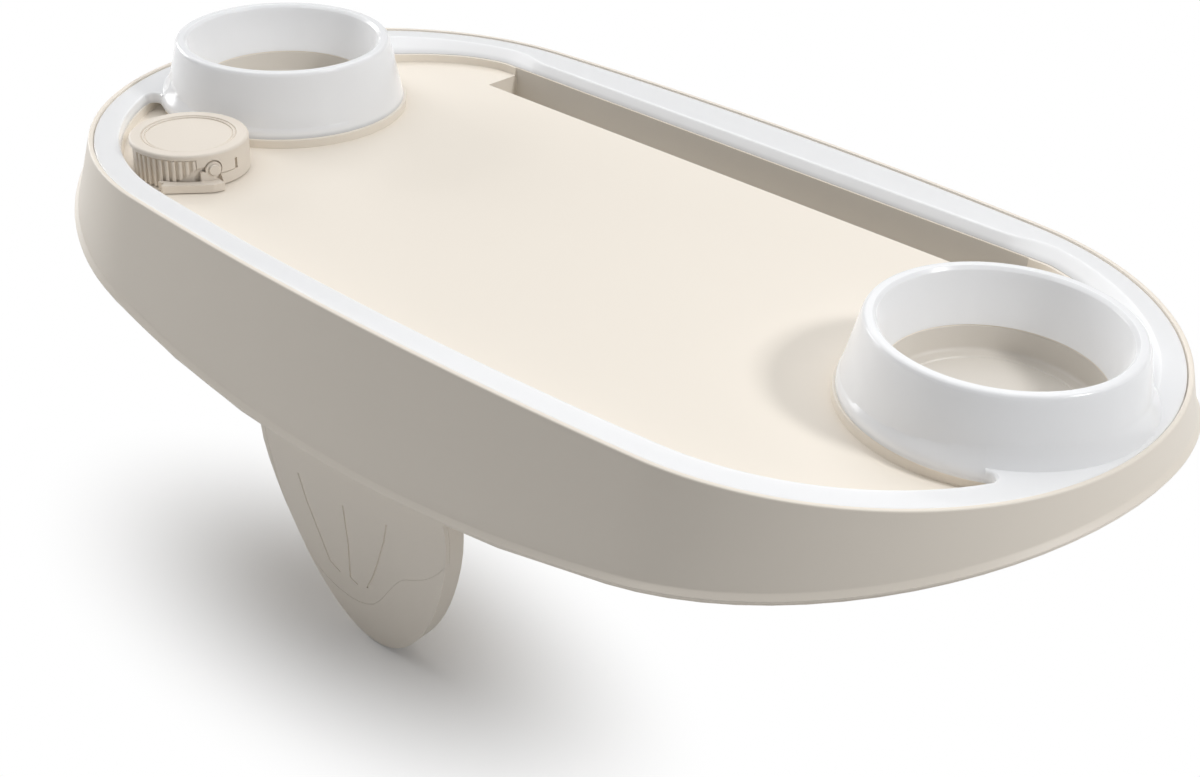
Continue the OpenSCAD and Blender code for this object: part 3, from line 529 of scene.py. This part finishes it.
def spun(profile, centre, steps=SPIN_STEPS):
    bm = bmesh.new()
    verts = [bm.verts.new((centre[0] + r, centre[1], z)) for r, z in profile]
    edges = [bm.edges.new((verts[k], verts[(k + 1) % len(verts)])) for k in range(len(verts))]
    on_axis = [e for e in edges if all(abs(v.co.x - centre[0]) < 1e-6 for v in e.verts)]
    bmesh.ops.delete(bm, geom=on_axis, context="EDGES_FACES")
    bmesh.ops.spin(
        bm, geom=list(bm.verts) + list(bm.edges), cent=(centre[0], centre[1], 0), axis=(0, 0, 1),
        angle=2 * math.pi, steps=steps, use_merge=True,
    )
    bmesh.ops.remove_doubles(bm, verts=bm.verts, dist=MERGE)
    bmesh.ops.recalc_face_normals(bm, faces=bm.faces)
    return bm


def drum(radius, low, high, centre, steps=SPIN_STEPS):
    return spun([(0, low), (radius, low), (radius, high), (0, high)], centre, steps)


def round_off(corner, r, steps=3):
    """Corner (centre x, centre z, first angle, last angle) as points of an arc."""
    cx, cz, first, last = corner
    angles = [math.radians(first + (last - first) * k / steps) for k in range(steps + 1)]
    return [(cx + r * math.cos(a), cz + r * math.sin(a)) for a in angles]


def box_of(x0, y0, z0, x1, y1, z1):
    bm = bmesh.new()
    bmesh.ops.create_cube(bm, size=1)
    bmesh.ops.scale(bm, vec=(x1 - x0, y1 - y0, z1 - z0), verts=bm.verts)
    bmesh.ops.translate(bm, vec=((x0 + x1) / 2, (y0 + y1) / 2, (z0 + z1) / 2), verts=bm.verts)
    return bm


def bevel_upright(bm, offset, segments, beyond=-math.inf):
    """Rounds the upright edges of a box, or only those beyond a given X."""
    upright = [
        e for e in bm.edges
        if abs(e.verts[0].co.z - e.verts[1].co.z) > 1 and all(v.co.x > beyond for v in e.verts)
    ]
    bmesh.ops.bevel(
        bm, geom=upright, offset=offset, offset_type="OFFSET", segments=segments,
        profile=0.5, affect="EDGES", material=-1,
    )


def prism(corners, low, high):
    bm = bmesh.new()
    face = bm.faces.new([bm.verts.new((x, y, low)) for x, y in corners])
    grown = bmesh.ops.extrude_face_region(bm, geom=[face])["geom"]
    top = [part for part in grown if isinstance(part, bmesh.types.BMVert)]
    bmesh.ops.translate(bm, vec=(0, 0, high - low), verts=top)
    bmesh.ops.recalc_face_normals(bm, faces=bm.faces)
    return bm


def sector(centre, first, last, radius, low, high, flip=1):
    """An upright wedge between two bearings, in degrees, about a centre."""
    cx, cy = centre
    turns = [math.radians(first + (last - first) * k / 6) for k in range(7)]
    rim = [(cx + flip * radius * math.cos(a), cy + radius * math.sin(a)) for a in turns]
    return prism([centre] + rim, low, high)


print("a full spin has", SPIN_STEPS, "steps")

# %% [markdown]
# Pieces are joined and cut with exact booleans. Each step is applied at once, so
# that a piece ends as plain mesh with nothing live on it. A boolean's small slivers
# depend on the order in which it meets the faces, and the operators don't give
# them one order, so each mesh is sorted first and every run comes out the same.
# A finished piece loses the faces that a boolean left twice in one plane. It gets
# smooth shading with sharp creases, its finish, and its ride on a body.

# %% Booleans and finish
LEDGE_H = 25.0


def thing_of(name, bm):
    """An object from a bmesh, whose faces get a fixed order and a fixed first corner."""
    bm.verts.index_update()
    rings = []
    for face in bm.faces:
        ring = [vert.index for vert in face.verts]
        first = ring.index(min(ring))
        rings.append(ring[first:] + ring[:first])
    mesh = bpy.data.meshes.new(name)
    mesh.from_pydata([vert.co for vert in bm.verts], [], sorted(rings))
    bm.free()
    thing = bpy.data.objects.new(name, mesh)
    bpy.context.scene.collection.objects.link(thing)
    return thing


def settle(thing):
    """Applies the modifiers of a thing."""
    graph = bpy.context.evaluated_depsgraph_get()
    made = bpy.data.meshes.new_from_object(thing.evaluated_get(graph), depsgraph=graph)
    old = thing.data
    thing.modifiers.clear()
    thing.data = made
    bpy.data.meshes.remove(old)


def combine(thing, how, *tools):
    for bm in tools:
        tool = thing_of("tool", bm)
        step = thing.modifiers.new("step", "BOOLEAN")
        step.operation, step.solver, step.object = how, "EXACT", tool
        settle(thing)
        bpy.data.objects.remove(tool)


def carved(bm, how, *tools):
    """The same from bmesh to bmesh, for a tool that is itself cut to shape."""
    thing = thing_of("carved", bm)
    combine(thing, how, *tools)
    result = bmesh.new()
    result.from_mesh(thing.data)
    bpy.data.objects.remove(thing)
    return result


def dress(thing, name, body, slot_name, replaced, angle=32):
    mesh = thing.data
    thing.name = mesh.name = name
    mesh.shade_smooth()
    mesh.set_sharp_from_angle(angle=math.radians(angle))
    weighted = thing.modifiers.new("weighted", "WEIGHTED_NORMAL")
    weighted.keep_sharp = True
    settle(thing)
    thing.data.name = name
    thing.data.materials.clear()
    thing.data.materials.append(FINISH[slot_name])
    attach(thing, body)
    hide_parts(*replaced)
    print(name, "has", len(thing.data.polygons), "faces")


def finish_piece(thing, name, body, slot_name, replaced, angle=32):
    """Drops doubled faces, scales from the drawing's millimetres to metres, and dresses."""
    thing.data.validate()
    thing.data.transform(Matrix.Scale(0.001, 4) @ Matrix.Translation((0, 0, LEDGE_H)))
    dress(thing, name, body, slot_name, replaced, angle)


print("drawings stand on the ledge, at", LEDGE_H, "mm")

# %% [markdown]
# The upper housing is one moulding: a flared skirt with a bead along its edge, a lip,
# the channel below the band, a narrow ledge and the sunk deck. Its section starts on
# the deck and ends below it, and the two open loops are closed with one face each.

# %% Housing loft
DECK_Z, CHANNEL_Z = -3.9, -2.5
WALL, SKIRT_WALL, LEDGE_UNDER, DECK_UNDER = 2.4, 2.6, -4.9, -6.4
BAND_SEAT, LIP_FACE, LIP_R = 2.6, 2, 0.7

HOUSING = [
    lambda s: (-ledge_in(s) - 0.5, DECK_Z),
    lambda s: (-ledge_in(s) - 0.15, DECK_Z + 0.15),
    lambda s: (-ledge_in(s), DECK_Z + 0.5),
    lambda s: (-ledge_in(s), -0.35),
    lambda s: (-ledge_in(s) + 0.1, -0.1),
    lambda s: (-ledge_in(s) + 0.35, 0),
    lambda s: (-band_foot(s) + BAND_SEAT, 0),
    lambda s: (-band_foot(s) + BAND_SEAT, CHANNEL_Z),
    lambda s: (-LIP_FACE, CHANNEL_Z),
    lambda s: (-LIP_FACE, RIM_H - 0.4),
    lambda s: (-LIP_FACE + 0.1, RIM_H - 0.12),
    lambda s: (-LIP_FACE + 0.4, RIM_H),
]
for corner in round_off((-LIP_R, RIM_H - LIP_R, 90, 0), LIP_R):
    HOUSING.append(lambda s, corner=corner: corner)
HOUSING += [
    lambda s: (flared(skirt_edge(s) * 0.5), skirt_edge(s) * 0.5),
    lambda s: (flared(skirt_edge(s) + 3.3), skirt_edge(s) + 3.3),
    lambda s: (flared(skirt_edge(s) + 2.7) + 0.25, skirt_edge(s) + 2.7),
    lambda s: (flared(skirt_edge(s) + 2.0) + 0.85, skirt_edge(s) + 2.0),
    lambda s: (flared(skirt_edge(s)) + 1.2, skirt_edge(s) + 1.1),
    lambda s: (flared(skirt_edge(s)) + 1.1, skirt_edge(s) + 0.4),
    lambda s: (flared(skirt_edge(s)) + 0.6, skirt_edge(s)),
    lambda s: (flared(skirt_edge(s)) - SKIRT_WALL, skirt_edge(s)),
    lambda s: (flared(LEDGE_UNDER) - SKIRT_WALL, LEDGE_UNDER),
    lambda s: (-ledge_in(s) + WALL, LEDGE_UNDER),
    lambda s: (-ledge_in(s) + WALL, DECK_UNDER),
]
housing = thing_of("housing", loft(HOUSING, closed=False))
print("housing loft:", len(housing.data.polygons), "faces")

# %% [markdown]
# Each drink stands in a well inside a low collar, on a round plinth that rises from
# the deck. Plinth and collar are spun from a half section, and the plinth is cut off
# where the ledge already is. Both are joined to the housing, and so is the pocket
# below the slot. The wells, the slot and the hole for the battery tube are cut last.

# %% Plinths, wells, slot and tube hole
CUP_X, PLINTH_R = 189.8, 55.2
COLLAR_R, COLLAR_TOP, COLLAR_ROUND = 38.8, 6.7, 1.1
WELL_FLOOR, WELL_CORNER = -3.2, 1.5
SLOT_W, SLOT_L, SLOT_FLOOR = 18.8, 142.6, -18
CAP = (-159.37, -76.42)
TUBE_HOLE_R = 20


def plinth(side):
    profile = [(0, -WALL), (PLINTH_R - WALL, -WALL)]
    profile += [(PLINTH_R - WALL, DECK_UNDER), (PLINTH_R, DECK_UNDER)]
    profile += round_off((PLINTH_R - 0.5, -0.5, 0, 90), 0.5) + [(0, 0)]
    return spun(profile, (side * CUP_X, 0))


def collar(side):
    middle = COLLAR_R + COLLAR_ROUND
    rim = round_off((middle, COLLAR_TOP - COLLAR_ROUND, 0, 180), COLLAR_ROUND, 6)
    return spun([(0, DECK_UNDER), (41, DECK_UNDER)] + rim + [(0, 5)], (side * CUP_X, 0))


def inside_ledge():
    return loft(
        [lambda s: (1.2 - ledge_in(s), -8), lambda s: (1.2 - ledge_in(s), 8)], closed=False
    )


def well(side):
    profile = [(0, WELL_FLOOR - 0.5), (32.9, WELL_FLOOR - 0.5)]
    profile += [(33.2, WELL_FLOOR - 0.2), (33.4, WELL_FLOOR)]
    centre_r, centre_z = COLLAR_R - 0.7 - WELL_CORNER, WELL_FLOOR + WELL_CORNER
    profile += round_off((centre_r, centre_z, -90, 0), WELL_CORNER)
    return spun(profile + [(COLLAR_R, 5.6), (COLLAR_R, 8), (0, 8)], (side * CUP_X, 0))


def slot_tool(grow, low, high, corner):
    half_l, front_y = SLOT_L + grow, SLOT_REAR_Y - SLOT_W - grow
    bm = box_of(-half_l, front_y, low, half_l, SLOT_REAR_Y + grow, high)
    bevel_upright(bm, corner, 4)
    return bm


for side in (-1, 1):
    rising = carved(plinth(side), "INTERSECT", inside_ledge())
    combine(housing, "UNION", rising, collar(side))
combine(housing, "UNION", slot_tool(WALL, SLOT_FLOOR - WALL, -4.2, WALL))
combine(housing, "DIFFERENCE", well(-1), well(1), slot_tool(0, SLOT_FLOOR, 3, 0.5))
combine(housing, "DIFFERENCE", drum(TUBE_HOLE_R, -12, 2, CAP, 96))
finish_piece(housing, "upper_housing_fine", "tray", "cream", ["upper_housing"])

# %% [markdown]
# The light guide is the piece that gives the tray its look: a milky band that lies
# flush with the lip, slopes down to the ledge, and swells into a ring at each end.
# The band is a closed loft. Its crease, where the flat top turns into the slope, is
# a short curve that three points lead, so that it catches a narrow highlight. The
# rings are spun, with a rounded top and a hollow below.

# %% Band and rings
BAND_TOP, GUIDE_WALL, CREASE_STEPS = 4.9, 2.0, 4
BAND_OUT, BAND_LEG = 2.3, 4.3
CUP_R, RING_W, RING_H, RING_FOOT_R = 43.0, 5.0, 28.0, 54.1
SEAT_Z, TOP_R = 0.02, 1.5


def crease(s, k):
    inset, low = band_in(s), (band_foot(s) - band_in(s)) / BAND_TOP
    t = k / CREASE_STEPS
    ax, az = -inset + 0.8, BAND_TOP
    mx, mz = -inset - 0.05 * low, BAND_TOP - 0.05
    bx, bz = -inset - low * 0.6, BAND_TOP - 0.7
    return (
        ax * (1 - t) ** 2 + 2 * mx * t * (1 - t) + bx * t * t,
        az * (1 - t) ** 2 + 2 * mz * t * (1 - t) + bz * t * t,
    )


def foot_width(s):
    return GUIDE_WALL + 0.15 * (band_foot(s) - band_in(s))


BAND = [
    lambda s: (-BAND_OUT, CHANNEL_Z),
    lambda s: (-BAND_OUT, BAND_TOP - 0.9),
    lambda s: (-BAND_OUT - 0.26, BAND_TOP - 0.26),
    lambda s: (-BAND_OUT - 0.9, BAND_TOP),
]
for k in range(CREASE_STEPS + 1):
    BAND.append(lambda s, k=k: crease(s, k))
BAND += [
    lambda s: (-band_foot(s) + 0.12, 0.3),
    lambda s: (-band_foot(s) + 0.3, SEAT_Z),
    lambda s: (-band_foot(s) + foot_width(s), SEAT_Z),
    lambda s: (-band_in(s) + 1.6, BAND_TOP - GUIDE_WALL),
    lambda s: (-BAND_LEG, BAND_TOP - GUIDE_WALL),
    lambda s: (-BAND_LEG, CHANNEL_Z),
]


def cup_ring(side):
    over = CUP_R + RING_W
    profile = [(RING_FOOT_R, SEAT_Z), (over + 0.35, RING_H - 1.9)]
    profile += round_off((over - TOP_R, RING_H - TOP_R, 8, 90), TOP_R, 5)
    profile += round_off((CUP_R + 1.6, RING_H - 0.6, 90, 130), 0.6)
    profile += round_off((CUP_R + 0.8, RING_H - 1.7, 130, 172), 0.8)
    profile += [(CUP_R - 0.12, RING_H - 2.6)]
    profile += [(COLLAR_R + 0.1, COLLAR_TOP + 0.04), (COLLAR_R + 2.2, COLLAR_TOP + 0.04)]
    profile += [(CUP_R + 1.8, RING_H - 4), (over - 1.4, RING_H - 4), (RING_FOOT_R - 2, SEAT_Z)]
    return spun(profile, (side * CUP_X, 0), 180)


guide = thing_of("guide", loft(BAND, closed=True))
combine(guide, "UNION", cup_ring(-1), cup_ring(1))
print("band and rings:", len(guide.data.polygons), "faces")

# %% [markdown]
# Where band and ring come together in front, a web closes the narrow end and stops
# at a rounded notch. Its wall runs on round the ring's foot as a hollow curve that
# dies away in the ring's cone, and the same curve leads the band's top into the cone
# round the tray's end. The curve is one half section, spun twice about two centres
# and cut to its bearings.

# %% Web, hollow curves and the finished guide
NOTCH_X, NOTCH_Y, NOTCH_R, NOTCH_ROUND = 218.5, -52.9, 3.5, 1.2
SHELF_X, SHELF_Y = 192.0, 1.04
SHELF_ARC, SWELL_ARC = (-172, -61.5), (-62.5, 48)
BEYOND = 80
COLLAR_ROOM = 41.15


def web(side):
    corners = [(NOTCH_X, NOTCH_Y), (223.7, -55.8), (232.5, -36.5), (229, -33), (214.9, -46.3)]
    flat = prism([(side * x, y) for x, y in corners], SEAT_Z, BAND_TOP)
    notch = [(0, -1), (NOTCH_R, -1), (NOTCH_R, 3.7)]
    for a in (0.4, 0.8, 1.2, 1.5708):
        out, rise = NOTCH_ROUND * (1 - math.cos(a)), NOTCH_ROUND * math.sin(a)
        notch.append((NOTCH_R + out, 3.7 + rise))
    notch += [(NOTCH_R + NOTCH_ROUND, 6), (0, 6)]
    return carved(flat, "DIFFERENCE", spun(notch, (side * NOTCH_X, NOTCH_Y), 48))


def hollow_curve(out, low):
    """Half section that hollows up from the band's top into the ring's cone."""
    curve = [(56.55, SEAT_Z), (56.45, 2.4), (56.15, 3.4), (55.6, 4.4), (54.9, 5.4), (54.1, 6.5)]
    curve += [(53.3, 7.8), (52.55, 9.2), (51.8, 10.9), (51.0, 13.0), (49.9, 13.0)]
    return [(51.2, low)] + [(r + out, max(z, low)) for r, z in curve]


def shelf(side):
    around = spun(hollow_curve(0, SEAT_Z), (side * SHELF_X, SHELF_Y), 180)
    part = sector((side * CUP_X, 0), *SHELF_ARC, BEYOND, -1, 16, side)
    return carved(around, "INTERSECT", part)


def swell(side):
    around = spun(hollow_curve(0.15, 0.5), (side * CUP_X, 0), 180)
    part = sector((side * CUP_X, 0), *SWELL_ARC, BEYOND, -1, 16, side)
    inside_lip = loft([lambda s: (-2.9, -2), lambda s: (-2.9, 18)], closed=False)
    return carved(around, "INTERSECT", part, inside_lip)


combine(guide, "UNION", web(-1), web(1))
combine(guide, "UNION", shelf(-1), shelf(1), swell(-1), swell(1))
for side in (-1, 1):
    combine(guide, "DIFFERENCE", drum(COLLAR_ROOM, -4, 5.4, (side * CUP_X, 0)))
finish_piece(
    guide, "light_guide_fine", "tray", "translucent_white", ["light_guide"], angle=38
)

# %% [markdown]
# The battery cap is small but it is the only thing on the deck that a hand turns, so
# it is spun finely: a recessed disc inside a double line, a rim with a round edge,
# and a skirt. Ribs for the fingers run round the skirt, apart from a smooth wall on
# the right where the lever sits. Heights on the cap count from the deck.

# %% Battery cap: body and ribs
TUBE_R, TUBE_IN_R, NECK_H = 19.8, 17.4, 10.6
SKIRT_IN_R, SKIRT_R, SKIRT_LOW, CAP_R = 22.6, 23.7, 0.6, 24.9
RIB_IN, RIB_OUT, RIB_HALF, RIB_TOP = 23.3, 24.85, 0.75, 12.8
RIBS, RIB_FIRST, RIB_PITCH = 11, -99, 6.67


def lifted(points):
    return [(r, DECK_Z + z) for r, z in points]


def on_cap(bm, bearing, z):
    """Tool drawn with X outwards, Y along the skirt and Z up, put on the cap's skirt."""
    place = Matrix.Translation((*CAP, DECK_Z + z))
    place @= Matrix.Rotation(math.radians(bearing), 4, "Z")
    bmesh.ops.transform(bm, matrix=place, verts=bm.verts)
    return bm


def ring_part(near, far, low, high, first, last):
    """Part of a flat ring round the cap's axis, between two bearings."""
    ring = spun(lifted([(near, low), (far, low), (far, high), (near, high)]), CAP)
    return carved(ring, "INTERSECT", sector(CAP, first, last, 40, -12, 20))


def rib_at(bearing):
    rib = box_of(RIB_IN, -RIB_HALF, SKIRT_LOW, RIB_OUT, RIB_HALF, RIB_TOP)
    bevel_upright(rib, 0.5, 3, beyond=RIB_OUT - 0.05)
    return on_cap(rib, bearing, 0)


neck_room = [(0, 12.6), (TUBE_IN_R + 0.7, 12.6), (TUBE_IN_R + 0.7, NECK_H + 1.0)]
neck_room += [(TUBE_R + 0.6, NECK_H + 1.0), (TUBE_R + 0.6, NECK_H + 0.4)]
neck_room += [(SKIRT_IN_R, NECK_H + 0.4), (SKIRT_IN_R, SKIRT_LOW)]
outside = [(SKIRT_R, SKIRT_LOW), (SKIRT_R, 12.5), (CAP_R, 13.1)]
outside += round_off((23.6, 13.9, 0, 90), 1.3, 6)
double_line = [(20.0, 15.2), (19.85, 15.05), (19.7, 14.55), (19.4, 14.55), (19.3, 14.95)]
double_line += [(18.65, 14.95), (18.5, 14.8), (18.35, 14.3), (18.0, 14.3), (17.9, 14.6)]
disc = [(0, 14.6)]
cap = thing_of("cap", spun(lifted(neck_room + outside + double_line + disc), CAP))
ribs = bmesh.new()
for k in range(RIBS):
    for flip in (0, 180):
        rib = thing_of("rib", rib_at(RIB_FIRST + RIB_PITCH * k + flip))
        ribs.from_mesh(rib.data)
        bpy.data.objects.remove(rib)
combine(cap, "UNION", ribs, ring_part(23.2, CAP_R, SKIRT_LOW, 13.2, -30, 81))
print("cap with", 2 * RIBS, "ribs:", len(cap.data.polygons), "faces")

# %% [markdown]
# The lever lies in a pocket with a slanted upper edge, its round eye has a seat of
# its own, and a hole takes the pin. A short upright slot and a groove beside the eye
# finish the skirt, the slot first, because the groove ends in it. Pocket and eye must
# not break through to the tube's neck, so each tool has the skirt's inner part taken
# away before it cuts.

# %% Battery cap: pocket, eye, groove and slot
KNOB_A, KNOB_Z, EYE_R, PIN_HOLE_R = -14.0, 8.2, 4.0, 1.15
POCKET_DEPTH_R, EYE_DEPTH_R = 23.15, 23.3
SLANT = [(-15.8, 2.5), (-10.3, 6.7), (-6.7, 9.4), (-1.7, 10.3), (3, 10.3)]
SLANT += [(3, 5.4), (3.3, 5.0), (4.5, 0.2), (4.5, -3), (-15.8, -3)]
LINE_LOW, LINE_HIGH, LINE_END, LINE_HALF = 5.4, 5.8, 13, 0.75


def round_bar(radius, near, far, bearing, z):
    bm = bmesh.new()
    bmesh.ops.create_cone(
        bm, cap_ends=True, segments=48, radius1=radius, radius2=radius, depth=far - near
    )
    bmesh.ops.rotate(bm, matrix=Matrix.Rotation(math.radians(90), 3, "Y"), verts=bm.verts)
    bmesh.ops.translate(bm, vec=((near + far) / 2, 0, 0), verts=bm.verts)
    return on_cap(bm, bearing, z)


def without_core(bm, radius):
    return carved(bm, "DIFFERENCE", drum(radius, DECK_Z - 8, DECK_Z + 22, CAP, 96))


slant = prism(SLANT, 9, 42)
outwards = Matrix(((0, 0, 1, 0), (1, 0, 0, 0), (0, 1, 0, 0), (0, 0, 0, 1)))
bmesh.ops.transform(slant, matrix=outwards, verts=slant.verts)
bmesh.ops.recalc_face_normals(slant, faces=slant.faces)
pocket = on_cap(box_of(10, -16, -2, 40, 6, 20), KNOB_A, 0)
pocket = without_core(carved(pocket, "INTERSECT", on_cap(slant, KNOB_A, 0)), POCKET_DEPTH_R)
eye = without_core(round_bar(EYE_R, 20, 40, KNOB_A, KNOB_Z), EYE_DEPTH_R)
combine(cap, "DIFFERENCE", pocket, eye, round_bar(PIN_HOLE_R, 15, 40, KNOB_A, KNOB_Z))
groove = ring_part(24.3, 30, LINE_LOW, LINE_HIGH, -9, LINE_END + 0.5)
upright_slot = on_cap(box_of(23.1, -LINE_HALF, LINE_LOW, 28, LINE_HALF, 10.2), LINE_END, 0)
combine(cap, "DIFFERENCE", upright_slot, groove)
finish_piece(cap, "battery_cap_fine", "cap", "cap_cream", ["battery_cap"], angle=30)

# %% [markdown]
# The smaller mouldings keep the shape that the solid model gives them. A copy has
# its triangles merged and its flat faces joined, and on all but the base cover a narrow
# bevel takes the sharpness off its edges, which is what makes a moulded edge catch the light.

# %% Mouldings with softened edges
def softened(node, body, width):
    bm = bmesh.new()
    bm.from_mesh(nodes[node].data)
    bmesh.ops.remove_doubles(bm, verts=bm.verts, dist=1e-6)
    flat = math.radians(0.6)
    bmesh.ops.dissolve_limit(bm, angle_limit=flat, verts=bm.verts, edges=bm.edges)
    bmesh.ops.recalc_face_normals(bm, faces=bm.faces)
    copy = thing_of(node, bm)
    if width:
        edge = copy.modifiers.new("edge", "BEVEL")
        edge.width, edge.segments, edge.limit_method = width, 2, "ANGLE"
        edge.angle_limit = math.radians(35)
        edge.miter_outer = "MITER_ARC"
    settle(copy)
    dress(copy, node + "_fine", body, slot_of[node], [node])


for node, body, width in (
    ("base_cover", "tray", 0),
    ("front_leg", "tray", 0.0005),
    ("rear_leg", "tray", 0.0005),
    ("front_leg_panel", "tray", 0.0004),
    ("rear_leg_panel", "tray", 0.0004),
    ("latch_lever", "latch", 0.0003),
    ("latch_pin", "cap", 0.0001),
):
    softened(node, body, width)

# %% [markdown]
# The studio. A pale floor runs out to a white background. The floor takes part in
# the lighting as a plain matt surface, and towards the camera and in reflections it
# turns into plain white light with the distance from the tray's shadow. So the
# background is white, and the shadow under the tray is kept.

# %% Floor and background
FLOOR_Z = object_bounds()[0].z - 0.0005
FLOOR_SIZE = 6
SHADOW_SPOT = {"Location": (0.025, 0.228, 0), "Scale": (1, 2, 1)}
SHADOW_RANGE = {"From Min": 0.01, "From Max": 0.185, "To Min": 0.06, "To Max": 1.0}


def backdrop_material():
    material = bpy.data.materials.new("studio_floor")
    material.use_nodes = True
    tree = material.node_tree
    tree.nodes.remove(shader_of(material))
    out = tree.nodes["Material Output"]
    matt = tree.nodes.new("ShaderNodeBsdfDiffuse")
    matt.inputs["Color"].default_value = (0.74, 0.735, 0.73, 1)
    glow = tree.nodes.new("ShaderNodeEmission")
    set_values(glow, {"Color": (1, 1, 1, 1), "Strength": 1.0})
    centre = tree.nodes.new("ShaderNodeMapping")
    set_values(centre, SHADOW_SPOT)
    reach = tree.nodes.new("ShaderNodeVectorMath")
    reach.operation = "LENGTH"
    fade = tree.nodes.new("ShaderNodeMapRange")
    fade.interpolation_type = "SMOOTHSTEP"
    set_values(fade, SHADOW_RANGE)
    spot = tree.nodes.new("ShaderNodeTexCoord")
    tree.links.new(spot.outputs["Object"], centre.inputs["Vector"])
    tree.links.new(centre.outputs["Vector"], reach.inputs[0])
    tree.links.new(reach.outputs["Value"], fade.inputs["Value"])
    seen = tree.nodes.new("ShaderNodeLightPath")
    either = tree.nodes.new("ShaderNodeMath")
    either.operation = "MAXIMUM"
    share = tree.nodes.new("ShaderNodeMath")
    share.operation = "MULTIPLY"
    mix = tree.nodes.new("ShaderNodeMixShader")
    tree.links.new(seen.outputs["Is Camera Ray"], either.inputs[0])
    tree.links.new(seen.outputs["Is Glossy Ray"], either.inputs[1])
    tree.links.new(either.outputs[0], share.inputs[0])
    tree.links.new(fade.outputs["Result"], share.inputs[1])
    tree.links.new(share.outputs[0], mix.inputs["Fac"])
    tree.links.new(matt.outputs[0], mix.inputs[1])
    tree.links.new(glow.outputs[0], mix.inputs[2])
    tree.links.new(mix.outputs[0], out.inputs["Surface"])
    return material


sheet = bmesh.new()
bmesh.ops.create_grid(sheet, x_segments=1, y_segments=1, size=FLOOR_SIZE)
floor = thing_of("floor", sheet)
floor.location.z = FLOOR_Z
floor.data.materials.append(backdrop_material())
print("floor at", round(FLOOR_Z, 4))

# %% [markdown]
# Three soft lamps light the tray. A small one stands to the right and a little
# behind, and draws the shadows of the rings. A broad one hangs overhead, over the
# left rear, and gives the deck its brightness, and a low one on the left opens up
# the far end of the skirt. A faint even light comes from all sides, while the camera
# sees the world as plain white.

# %% Lamps and world
EVEN_LIGHT = 0.18


def lamp(name, place, aim, size, power):
    data = bpy.data.lights.new(name, "AREA")
    data.shape = "RECTANGLE"
    data.size, data.size_y = size
    data.energy = power
    thing = bpy.data.objects.new(name, data)
    bpy.context.scene.collection.objects.link(thing)
    thing.location = place
    thing.rotation_mode = "QUATERNION"
    thing.rotation_quaternion = (Vector(aim) - Vector(place)).to_track_quat("-Z", "Y")


lamp("key", (1.22, 0.335, 1.1), (0.19, 0, 0), (0.25, 0.25), 10.4)
lamp("overhead", (-0.6, 0.35, 1.5), (0, 0, 0), (2.6, 2.2), 25.5)
lamp("left_fill", (-1.6, -0.1, 0.4), (0, 0, 0), (0.8, 0.6), 9)

world = bpy.data.worlds.new("studio")
bpy.context.scene.world = world
world.use_nodes = True
sky = world.node_tree
for old in list(sky.nodes):
    sky.nodes.remove(old)
light = sky.nodes.new("ShaderNodeBackground")
set_values(light, {"Color": (1, 1, 1, 1), "Strength": EVEN_LIGHT})
plain = sky.nodes.new("ShaderNodeBackground")
set_values(plain, {"Color": (1, 1, 1, 1), "Strength": 1.0})
path = sky.nodes.new("ShaderNodeLightPath")
pick = sky.nodes.new("ShaderNodeMixShader")
end = sky.nodes.new("ShaderNodeOutputWorld")
sky.links.new(path.outputs["Is Camera Ray"], pick.inputs["Fac"])
sky.links.new(light.outputs[0], pick.inputs[1])
sky.links.new(plain.outputs[0], pick.inputs[2])
sky.links.new(pick.outputs[0], end.inputs["Surface"])
bpy.context.scene.view_settings.view_transform = "Standard"
